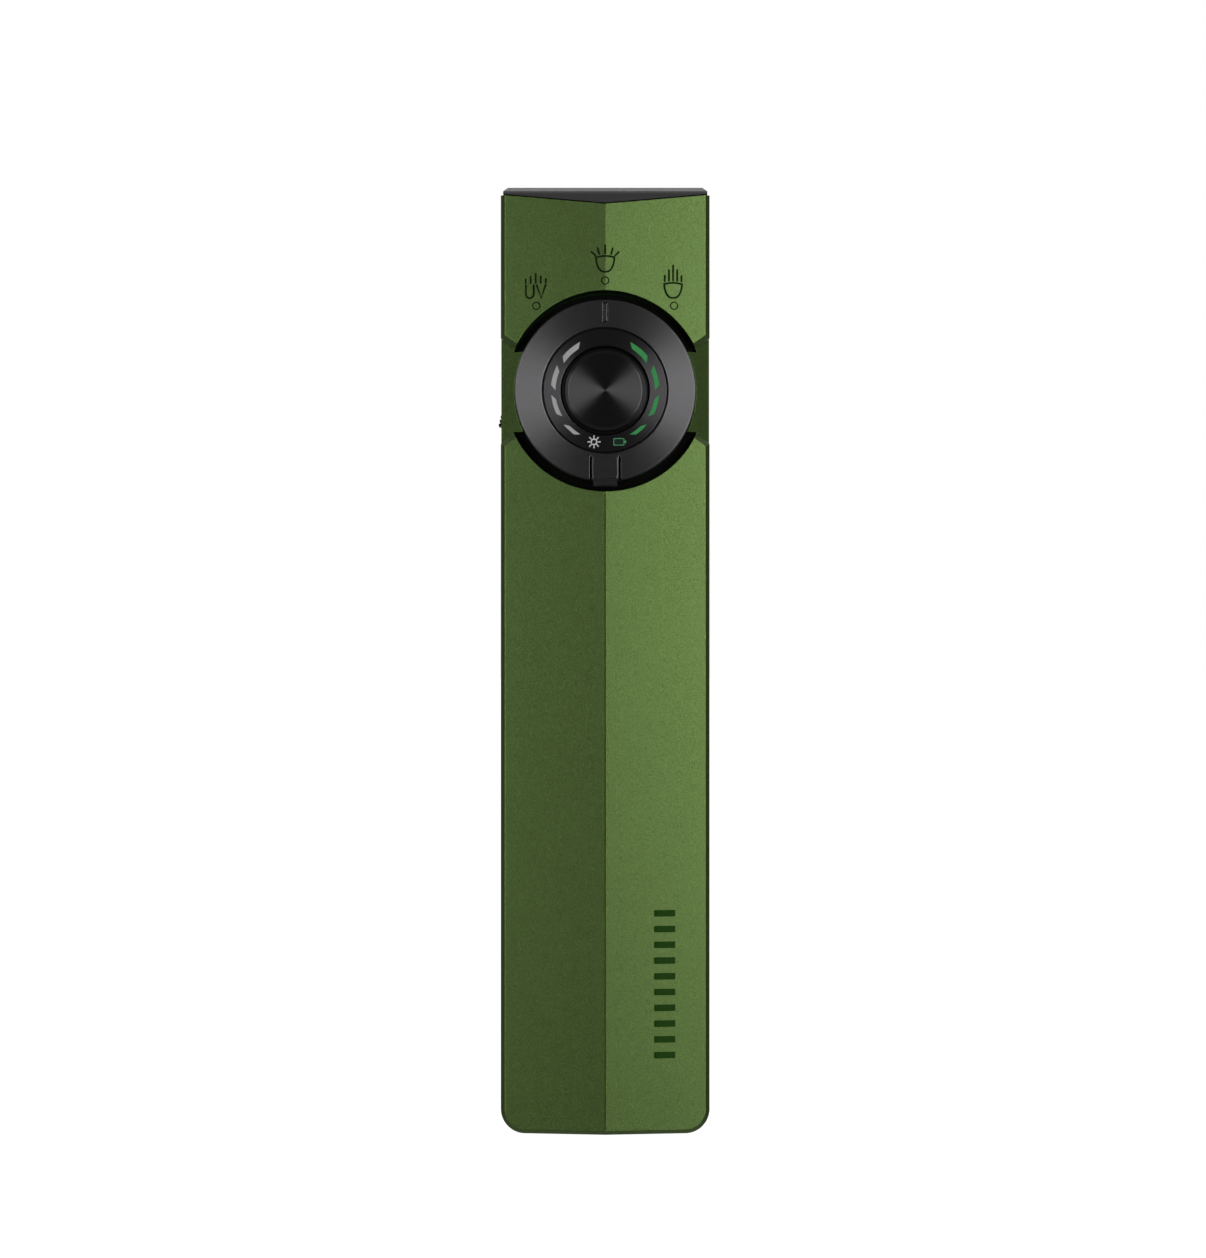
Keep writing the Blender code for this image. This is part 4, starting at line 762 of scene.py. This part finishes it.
def housing():
    body = housing_blank()
    wide, top = HALF_WIDTH + MM, BODY_TOP + 1.5 * MM
    wide_z = V_APEX + FRONT_SLOPE * wide
    joint = [(0, V_APEX), (wide, wide_z), (wide, top), (-wide, top), (-wide, wide_z)]
    slot_x, slot_z = KEY_WIDTH / 2 + 0.15 * MM, KEY_LENGTH / 2 + 0.15 * MM
    key_slot = centred(slot_x, slot_z, slot_x - WELD, (KEY_Y, KEY_Z), 12)
    cutters = [
        extruded("joint", [joint], RIDGE_Y - MM, POCKET_FRONT + MM, "Y"),
        extruded("pocket", [rounded_rectangle((-POCKET_X, POCKET_FRONT), (POCKET_X, POCKET_BACK), 1.5 * MM)],
                 POCKET_FLOOR, top),
        extruded("cavity", [rounded_rectangle((-CAVITY_X, CAVITY_FRONT), (CAVITY_X, CAVITY_BACK), 1.2 * MM)],
                 TAIL_WALL, POCKET_FLOOR + MM),
        recess(),
        bar("boss", 5.3 * MM, -2 * MM, MM, location=DIAL_AT, rotation=DIAL_TURN),
        notch(1),
        notch(-1),
        bar("contact", 4.0 * MM, -MM, TAIL_WALL + MM, (0, CAVITY_Y), segments=96),
        extruded("key_pocket", [key_slot], -HALF_WIDTH - MM, -HALF_WIDTH + KEY_THICK + 0.45 * MM, "X"),
        bar("key_stem", 1.0 * MM, -HALF_WIDTH, -CAVITY_X + MM, (KEY_Y, KEY_Z), "X"),
    ]
    cutters += [bar("clip_hole", 0.9 * MM, BACK_Y - 1.2 * MM, BACK_Y + MM, (0, z), "Y") for z in CLIP_SCREW_Z]
    paint(body, "green")
    for cutter in cutters:
        # The recess cutter gives its walls the near-black green: painted shade in the deep gap round the
        # ring.
        paint(cutter, "engraved" if cutter.name.startswith("recess") else "green")
    cut(body, *cutters)
    cleaned(body)
    eased(body, 0.05 * MM, 22)
    cut(body, *mode_icons(), *grip_marks(), ridge_line())
    placed(smooth(body, 24), "housing", "body_shell")


# ---- Head ------------
def rim_cutters():
    """Wedges that chamfer the top of the bezel, along its front and down both ends. Their cut faces take a
    lighter black than the bezel: a painted highlight on the chamfer.
    """
    low, over = LENGTH - 0.62 * MM, 0.4 * MM
    corners = [v.co for v in frame["nodes"]["head_bezel"].data.vertices]
    top_y = min(corner.y for corner in corners if corner.z > LENGTH - 0.01 * MM)
    # The front slope is at 45 degrees, so the foot lies on it. The cut runs on past both ends,
    # because one that stopped at the slope would leave a ledge narrower than the easing.
    foot, edge = top_y - (LENGTH - low), top_y + 0.55 * MM
    lean = over * (edge - foot) / (LENGTH - low)
    front = [(foot - 2 * MM, low - over), (foot - lean, low - over),
             (edge + lean, LENGTH + over), (foot - 2 * MM, LENGTH + over)]
    rims = [extruded("rim", [front], -HALF_WIDTH - MM, HALF_WIDTH + MM, "X")]
    outer, inner = HALF_WIDTH - 0.3 * MM, HALF_WIDTH - 0.85 * MM
    for side in (-1, 1):
        corner = [(side * x, z) for x, z in (
            (outer + MM, low), (outer, low), (inner, LENGTH),
            (inner, LENGTH + MM), (outer + MM, LENGTH + MM))]
        rims.append(extruded("rim_end", [corner], RIDGE_Y - 2 * MM, BACK_Y + 2 * MM, "Y"))
    return [paint(rim, "rim") for rim in rims]


def head():
    bezel = new_object("bezel", frame["nodes"]["head_bezel"].data.copy())
    cut(cleaned(paint(bezel, "bezel")), *rim_cutters())
    placed(smooth(eased(bezel, 0.05 * MM)), "housing", "head_bezel")
    refined("window", "window_glass", "glass", 0.1 * MM)
    refined("window_seal", "window_gasket", "rubber", 0.05 * MM)
    refined("tray", "optics_tray", "plastic", 0.12 * MM)
    optics()


def optics():
    """The spot lens, the frosted flood lens and the ultraviolet reflector."""
    lens_top, lens_x = 118.3 * MM, 6.7 * MM
    spot = filleted([
        (0, lens_top - 0.9 * MM), (1.3 * MM, lens_top - 0.9 * MM), (1.5 * MM, lens_top - 0.15 * MM),
        (3.3 * MM, lens_top - 0.1 * MM), (3.3 * MM, lens_top - 0.8 * MM), (3.05 * MM, lens_top - 0.8 * MM),
        (2.2 * MM, 113.25 * MM), (1.5 * MM, 113.25 * MM), (1.2 * MM, 115.0 * MM), (0, 115.3 * MM)], 0.12 * MM)
    lens = smooth(paint(lathe("spot_lens", spot, 96, (lens_x, HEAD_Y, 0)), "optic"))
    placed(lens, "housing", "spot_optic")
    dome = [(3.3 * MM * math.sin(a), lens_top - 0.75 * MM + 0.7 * MM * math.cos(a))
            for a in (math.pi / 2 * i / 10 for i in range(11))]
    flood = dome + filleted([
        (3.3 * MM, lens_top - 1.3 * MM), (3.0 * MM, lens_top - 1.3 * MM),
        (2.6 * MM, 113.4 * MM), (1.7 * MM, 113.4 * MM), (1.5 * MM, 114.4 * MM)], 0.1 * MM)
    flood.append((0, 114.6 * MM))
    lens = smooth(paint(lathe("flood_lens", flood, 96, (-lens_x, HEAD_Y, 0)), "frosted"))
    placed(lens, "housing", "flood_optic")
    outer, mouth, throat, low, high = 1.6 * MM, 1.45 * MM, 0.85 * MM, 113.2 * MM, 118.35 * MM
    bowl = [(throat + (mouth - throat) * math.sqrt(i / 16), low + (high - low) * i / 16) for i in range(17)]
    cup = lathe("uv_cup", [(outer, high), (outer, low), *bowl], 64, (0, HEAD_Y - 1.95 * MM, 0))
    placed(smooth(paint(cup, "chrome")), "housing", "uv_reflector")


# ---- Dial ------------
def on_dial(obj, body, *nodes):
    """Gives the piece a texture space centred on the dial's axis, so that turned finishes run true."""
    obj.data.use_auto_texspace = False
    obj.data.texspace_location, obj.data.texspace_size = (0, 0, 2 * MM), (13 * MM, 13 * MM, 13 * MM)
    return placed(obj, body, *nodes)


def selector_ring():
    """The turning ring, with the detent's track and the magnet's pocket in its underside."""
    track_in, track_out, track_high = 8.8 * MM, 10.0 * MM, 1.95 * MM
    edge = [
        (RING_INNER + 0.10 * MM, RING_TOP),
        (RING_OUTER - 0.16 * MM, RING_TOP),
        (RING_OUTER, RING_TOP - 0.16 * MM),
        (RING_OUTER, RING_UNDER + 0.3 * MM),
        (RING_OUTER - 0.3 * MM, RING_UNDER),
        (track_out, RING_UNDER),
        (track_out, track_high),
        (track_in, track_high),
        (track_in, RING_UNDER),
        (7.35 * MM, RING_UNDER),
        (7.35 * MM, 2.35 * MM),
        (RING_INNER, 2.35 * MM),
        (RING_INNER, RING_TOP - 0.10 * MM),
    ]
    ring = lathe("selector", filleted(edge, 0.06 * MM), 192, DIAL_AT, DIAL_TURN)
    at = {"location": DIAL_AT, "rotation": DIAL_TURN}
    half, start, end, rise, fall = 1.52 * MM, 8.5 * MM, 12.08 * MM, 0.1 * MM, 0.9 * MM
    side = [(-end, 2.1 * MM), (-start, 2.1 * MM), (-start, RING_TOP + rise),
            (-end + fall + 0.5 * MM, RING_TOP + rise),
            (-end + fall, RING_TOP + rise - 0.12 * MM), (-end, RING_TOP - fall)]
    lug = eased(extruded("lug", [side], -half, half, "X", **at), 0.06 * MM)
    grooves = []
    for way in (-1, 1):
        x, wide, near, far = way * 1.82 * MM, 0.16 * MM, 8.1 * MM, 11.75 * MM
        outline = [(x - wide, -far), (x + wide, -far), (x + wide, -near - 0.55 * MM), (x + wide * 0.2, -near),
                   (x - wide * 0.2, -near), (x - wide, -near - 0.55 * MM)]
        groove = extruded("groove", [outline], RING_TOP - 0.5 * MM, RING_TOP + MM, **at)
        grooves.append(groove)
    middle = (0, 9.86 * MM)
    pointer_line = [centred(0.32 * MM, 1.25 * MM, 0.08 * MM, middle, 3),
                    centred(0.2 * MM, 1.13 * MM, 0.05 * MM, middle, 3)]
    pointer = extruded("pointer", pointer_line, RING_TOP - 0.2 * MM, RING_TOP + MM, **at)
    pocket = bar("magnet_pocket", 1.1 * MM, RING_UNDER - MM, RING_UNDER + 1.1 * MM, (0, -9.5 * MM), **at)
    for piece in (ring, lug, pocket):
        paint(piece, "ring")
    # The pointer line and the grooves beside the lug take the near-black seat colour: painted shade in them.
    for piece in (pointer, *grooves):
        paint(piece, "seat")
    join(ring, lug)
    cut(ring, pointer, pocket, *grooves)
    eased(ring, 0.045 * MM, 40)
    on_dial(smooth(ring), "selector", "selector_ring")


BAR_ANGLES, BAR_SPANS = (42, 76, 108, 140), (24, 22, 21, 16)
BAR_SKEW, BAR_MIDDLE = 5.5, 6.58 * MM


def bar_outline(index, side):
    """Outline of one level bar: a slanted piece of ring, thinner at each step."""
    half = (0.66 - 0.07 * index) * MM / 2
    span = BAR_SPANS[index] / 2
    steps = 8
    inner = [BAR_ANGLES[index] + BAR_SKEW / 2 - span + 2 * span * i / steps for i in range(steps + 1)]
    points = [(BAR_MIDDLE - half, a) for a in inner]
    points += [(BAR_MIDDLE + half, a - BAR_SKEW) for a in reversed(inner)]
    return [(side * r * math.sin(math.radians(a)), r * math.cos(math.radians(a))) for r, a in points]


def indicator():
    """The smoked cover, and the level bars and two symbols that are inlaid in it."""
    skirt, bore, shelf, foot = 5.65 * MM, 5.95 * MM, 2.45 * MM, 1.2 * MM
    profile = [(skirt + 0.05 * MM, COVER_TOP), (COVER_OUTER, COVER_TOP), (COVER_OUTER, shelf), (bore, shelf),
               (bore, foot), (skirt, foot), (skirt, COVER_TOP - 0.1 * MM)]
    cover = lathe("indicator_ring", filleted(profile, 0.1 * MM), 192, DIAL_AT, DIAL_TURN)
    on_dial(smooth(paint(cover, "cover")), "housing", "indicator_cover")
    for side, node, look in (
        (-1, "brightness_light_guide", "bar_white"),
        (1, "battery_light_guide", "bar_green"),
    ):
        for i in range(4):
            inlay(f"{node}_bar_{i + 1}", [bar_outline(i, side)], look, node)
    symbols()


def inlay(name, outlines, look, *nodes, sunk=0.0):
    """A mark let into the cover, standing just proud of it unless sunk."""
    low, high = COVER_TOP - 0.5 * MM, COVER_TOP + 0.02 * MM - sunk
    mark = extruded(name, outlines, low, high, location=DIAL_AT, rotation=DIAL_TURN)
    placed(paint(mark, look), "housing", *nodes)


def symbols():
    """A sun for brightness and a battery for charge, below the button."""
    sun, battery = (-1.42 * MM, -6.5 * MM), (1.73 * MM, -6.5 * MM)
    inlay("sun_ring", circle_line(sun, 0.42 * MM, 0.28 * MM, 28), "icon_white")
    for i in range(8):
        turn = math.tau * i / 8
        ends = [(sun[0] + r * MM * math.cos(turn), sun[1] + r * MM * math.sin(turn)) for r in (0.5, 0.78)]
        inlay(f"sun_ray_{i + 1}", [stroke_outline(ends, 0.07 * MM)], "icon_white")
    case = [centred(0.69 * MM, 0.465 * MM, 0.1 * MM, battery, 4),
            centred(0.58 * MM, 0.355 * MM, 0.04 * MM, battery, 3)]
    inlay("battery_case", case, "icon_green")
    fill = [centred(0.56 * MM, 0.335 * MM, 0.03 * MM, battery, 3)]
    inlay("battery_fill", fill, "icon_dark", sunk=0.01 * MM)
    tip = [centred(0.11 * MM, 0.17 * MM, 0.04 * MM, (battery[0] + 0.82 * MM, battery[1]), 3)]
    inlay("battery_tip", tip, "icon_green")


def button():
    """The push button: a slightly dished face, a flange, and a stem under it."""
    face = 4.65 * MM
    profile = filleted([
        (0, BUTTON_TOP - 0.03 * MM),
        (face, BUTTON_TOP),
        (BUTTON_RADIUS, BUTTON_TOP - 0.38 * MM),
        (BUTTON_RADIUS, 2.35 * MM),
        (5.5 * MM, 2.35 * MM),
        (5.5 * MM, 1.7 * MM),
        (4.7 * MM, 1.7 * MM),
        (4.7 * MM, 2.9 * MM),
        (1.2 * MM, 2.9 * MM),
        (1.2 * MM, 1.05 * MM),
        (0, 1.05 * MM)], 0.06 * MM)
    cap = lathe("button", profile, 192, DIAL_AT, DIAL_TURN)
    on_dial(smooth(paint(cap, "button")), "button", "button_cap")


# ---- Side key, clip and tail ------------
def smooth_line(points):
    """Points of a smooth curve through the given ones."""
    steps = 6
    ends = [Vector(p) for p in (points[0], *points, points[-1])]
    line = []
    for a, b, c, d in zip(ends, ends[1:], ends[2:], ends[3:]):
        for i in range(steps):
            t = i / steps
            bend = (2 * a - 5 * b + 4 * c - d) * t**2 + (3 * b - a - 3 * c + d) * t**3
            line.append(0.5 * (2 * b + (c - a) * t + bend))
    return [*line, ends[-1]]


def clip_strip(line):
    """A bent strip along a line of (y, z) points, tapered towards the tip, with both ends rounded."""
    lengths = [0.0]
    for start, end in zip(line, line[1:]):
        lengths.append(lengths[-1] + (end - start).length)
    total, corner = lengths[-1], 1.6 * MM
    ends = [corner * (1 - math.cos(math.pi / 2 * i / 8)) for i in range(9)]
    middle = [place for place in lengths if corner < place < total - corner]
    places = ends + middle + [total - end for end in reversed(ends)]
    tip_half, taper = 3.6 * MM, 20 * MM
    bm = bmesh.new()
    rings = []
    for place in places:
        i = min(max(bisect.bisect_right(lengths, place) - 1, 0), len(line) - 2)
        step = line[i + 1] - line[i]
        here = line[i] + step * (place - lengths[i]) / step.length
        before, after = line[max(i - 1, 0)], line[min(i + 2, len(line) - 1)]
        along = (after - before).normalized()
        half = CLIP_HALF - (CLIP_HALF - tip_half) * max(0, 1 - (here.y - CLIP_TIP_Z) / taper)
        inside = corner - min(place, total - place)
        if inside > 0:
            half -= corner - math.sqrt(max(corner**2 - inside**2, 0))
        out, thick, edge = Vector((-along.y, along.x)), CLIP_THICK / 2, 0.13 * MM
        quarter = ((half, thick - edge), (half - edge * 0.3, thick - edge * 0.3), (half - edge, thick))
        corners = [*quarter, *[(-x, y) for x, y in reversed(quarter)]]
        corners += [(x, -y) for x, y in reversed(corners)]
        rings.append([bm.verts.new((x, *(here + y * out))) for x, y in corners])
    for a, b in zip(rings, rings[1:]):
        for i in range(len(a)):
            bm.faces.new((a[i - 1], a[i], b[i], b[i - 1]))
    bm.faces.new(rings[0])
    bm.faces.new(rings[-1])
    bmesh.ops.recalc_face_normals(bm, faces=bm.faces)
    return finished(bm, "clip")


def clip():
    """One strip of spring steel from the screwed foot, round the bend and down to the flared tip."""
    foot_y = BACK_Y + SEAM + CLIP_THICK / 2
    arm_y = foot_y + 2.0 * MM
    nip_y = BACK_Y + 0.35 * MM + CLIP_THICK / 2
    route = [(foot_y, 110.5 * MM), (foot_y, 104 * MM), (foot_y, 98 * MM), (foot_y, CLIP_BEND_Z + 0.2 * MM),
             (foot_y + 0.28 * MM, CLIP_BEND_Z - 1.1 * MM), (arm_y - 0.5 * MM, CLIP_BEND_Z - 3.2 * MM),
             (arm_y - 0.06 * MM, CLIP_BEND_Z - 4.6 * MM), (arm_y, CLIP_BEND_Z - 6.0 * MM), (arm_y, 80 * MM),
             (arm_y, 70 * MM), (arm_y, CLIP_TIP_Z + 14 * MM), (arm_y - 0.6 * MM, CLIP_TIP_Z + 9.5 * MM),
             (nip_y + 0.25 * MM, CLIP_TIP_Z + 5.2 * MM), (nip_y, CLIP_TIP_Z + 4 * MM),
             (nip_y + 0.3 * MM, CLIP_TIP_Z + 2.8 * MM), (arm_y + 0.05 * MM, CLIP_TIP_Z + 0.15 * MM)]
    strip = clip_strip(smooth_line(route))
    holes = [bar("hole", 0.95 * MM, BACK_Y - MM, BACK_Y + 3 * MM, (0, z), "Y") for z in CLIP_SCREW_Z]
    for piece in (strip, *holes):
        paint(piece, "black_steel")
    smooth(cleaned(cut(strip, *holes)), 35)
    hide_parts("clip_foot", "clip_arm")
    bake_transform(strip)
    for i in (1, 2):
        refined(f"screw_{i}", f"clip_screw_{i}", "black_steel", 0.06 * MM)


def side_key():
    refined("key", "side_key", "bezel", 0.08 * MM, "side_key")


def tail():
    at = {"location": (0, CAVITY_Y, 0)}
    proud = 0.05 * MM
    pin = filleted([(0, 7.8 * MM), (0.8 * MM, 7.8 * MM), (0.8 * MM, 1.2 * MM), (1.15 * MM, 1.2 * MM),
                    (1.15 * MM, proud), (0, proud)], 0.12 * MM)
    placed(smooth(paint(lathe("pin", pin, 64, **at), "gold")), "housing", "contact_pin")
    ring = filleted(tube_profile(2.25 * MM, 3.25 * MM, proud, 1.2 * MM), 0.12 * MM)
    placed(smooth(paint(lathe("contact", ring, 96, **at), "gold")), "housing", "contact_ring")
    refined("insulator", "contact_insulator", "plastic", 0.05 * MM)


# ---- Carried-over CAD nodes ------------
NODE_LOOKS = {
    "rubber": ("bezel_seal", "key_seal", "button_seal"),
    "phosphor": ("flood_led", "spot_led"),
    "violet": ("uv_led",),
    "board_white": ("led_board", "battery_connector", "board_link"),
    "copper": ("heat_sink",),
    "steel": ("board_screw_1", "board_screw_2", "seat_nut", "detent_ball", "detent_spring", "button_switch",
              "side_switch", "driver_inductor"),
    "brass": ("laser_barrel",),
    "optic": ("laser_lens",),
    "magnet": ("selector_magnet", "tail_magnet"),
    "white_plastic": ("switch_plunger",),
    "board": ("indicator_board", "switch_board", "side_board", "control_board", "charge_board"),
    "plastic": ("microcontroller", "hall_sensor"),
    "battery_wrap": ("battery_cell",),
    "foam": ("battery_pad",),
    "red_wire": ("battery_wire_positive", "led_wire_positive", "charge_wire_positive"),
    "black_wire": ("battery_wire_negative", "led_wire_negative", "charge_wire_negative"),
}


def carried_over():
    """Materials for the CAD nodes whose shape stays as it is, and the eased seat."""
    for look, nodes in NODE_LOOKS.items():
        for node in nodes:
            paint(frame["nodes"][node], look)
    # The seat's near-black colour is partly painted shade in the gap round the ring.
    refined("seat", "dial_seat", "seat", 0.05 * MM)


# ---- Studio ------------
def softbox(name, place, target, size, power):
    light = bpy.data.lights.new(name, "AREA")
    light.shape, light.size, light.size_y = "RECTANGLE", size[0], size[1]
    light.energy, light.spread = power, math.pi
    obj = bpy.data.objects.new(name, light)
    obj.location = place
    obj.rotation_euler = (Vector(target) - Vector(place)).to_track_quat("-Z", "Y").to_euler()
    obj.visible_camera = False
    bpy.context.scene.collection.objects.link(obj)


def world():
    """White to the camera. To the torch, a room that is dark in front, bright behind and dim at the sides."""
    made = bpy.data.worlds.new("studio")
    bpy.context.scene.world = made
    made.use_nodes = True
    tree = made.node_tree
    tree.nodes.clear()
    new, link = tree.nodes.new, tree.links.new
    out = new("ShaderNodeOutputWorld")
    seen = new("ShaderNodeBackground")
    seen.inputs["Color"].default_value = (1, 1, 1, 1)
    room = new("ShaderNodeBackground")
    place = new("ShaderNodeTexCoord")
    parts = new("ShaderNodeSeparateXYZ")
    link(place.outputs["Generated"], parts.inputs["Vector"])
    ramp = new("ShaderNodeValToRGB")
    shift = new("ShaderNodeMapRange")
    shift.inputs["From Min"].default_value, shift.inputs["From Max"].default_value = -1, 1
    link(parts.outputs["Y"], shift.inputs["Value"])
    link(shift.outputs["Result"], ramp.inputs["Fac"])
    ramp.color_ramp.elements[0].position, ramp.color_ramp.elements[0].color = 0.0, (0.08, 0.08, 0.08, 1)
    ramp.color_ramp.elements[1].position, ramp.color_ramp.elements[1].color = 1.0, (0.75, 0.75, 0.75, 1)
    middle = ramp.color_ramp.elements.new(0.5)
    middle.color = (0.22, 0.22, 0.22, 1)
    link(ramp.outputs["Color"], room.inputs["Color"])
    sideways, dimmed = new("ShaderNodeMath"), new("ShaderNodeMapRange")
    sideways.operation = "ABSOLUTE"
    link(parts.outputs["X"], sideways.inputs[0])
    set_range(dimmed, 0.55, 0.95, 1.0, 0.4)
    link(sideways.outputs["Value"], dimmed.inputs["Value"])
    link(dimmed.outputs["Result"], room.inputs["Strength"])
    path = new("ShaderNodeLightPath")
    mix = new("ShaderNodeMixShader")
    link(path.outputs["Is Camera Ray"], mix.inputs["Fac"])
    link(room.outputs["Background"], mix.inputs[1])
    link(seen.outputs["Background"], mix.inputs[2])
    link(mix.outputs["Shader"], out.inputs["Surface"])


def floor():
    """A plain white floor that only the camera sees, so that it casts no colour on the torch."""
    plane = block("floor", (-3, -3, -0.004), (3, 3, -0.0004))
    look = bpy.data.materials.new("floor_white")
    look.use_nodes = True
    shader = look.node_tree.nodes["Principled BSDF"]
    shader.inputs["Base Color"].default_value = (0, 0, 0, 1)
    shader.inputs["Emission Color"].default_value = (1, 1, 1, 1)
    shader.inputs["Emission Strength"].default_value = 1.0
    plane.data.materials.append(look)
    for ray in ("diffuse", "glossy", "transmission", "shadow"):
        setattr(plane, f"visible_{ray}", False)


def studio():
    world()
    floor()
    centre = (0, 0, 60 * MM)
    softbox("key", (0.42, -0.62, 0.15), centre, (0.35, 0.6), 4.85)
    softbox("fill", (-0.50, -0.55, 0.12), centre, (0.3, 0.6), 3.4)
    softbox("top", (0.05, 0.35, 0.85), centre, (0.6, 0.6), 2.2)
    camera = bpy.data.cameras.new("camera")
    distance, view_height, front_plane = 325 * MM, 160.2692 * MM, -6.5 * MM
    camera.sensor_width = 36
    camera.lens = camera.sensor_width * distance / view_height
    camera.clip_start, camera.clip_end = 0.01, 20
    obj = bpy.data.objects.new("camera", camera)
    obj.location = (-0.28 * MM, front_plane - distance, 64.2 * MM)
    obj.rotation_euler = (math.pi / 2, 0, 0)
    bpy.context.scene.collection.objects.link(obj)
    bpy.context.scene.camera = obj
    bpy.context.scene.view_settings.view_transform = "Standard"


housing()
head()
selector_ring()
indicator()
button()
side_key()
clip()
tail()
carried_over()
studio()
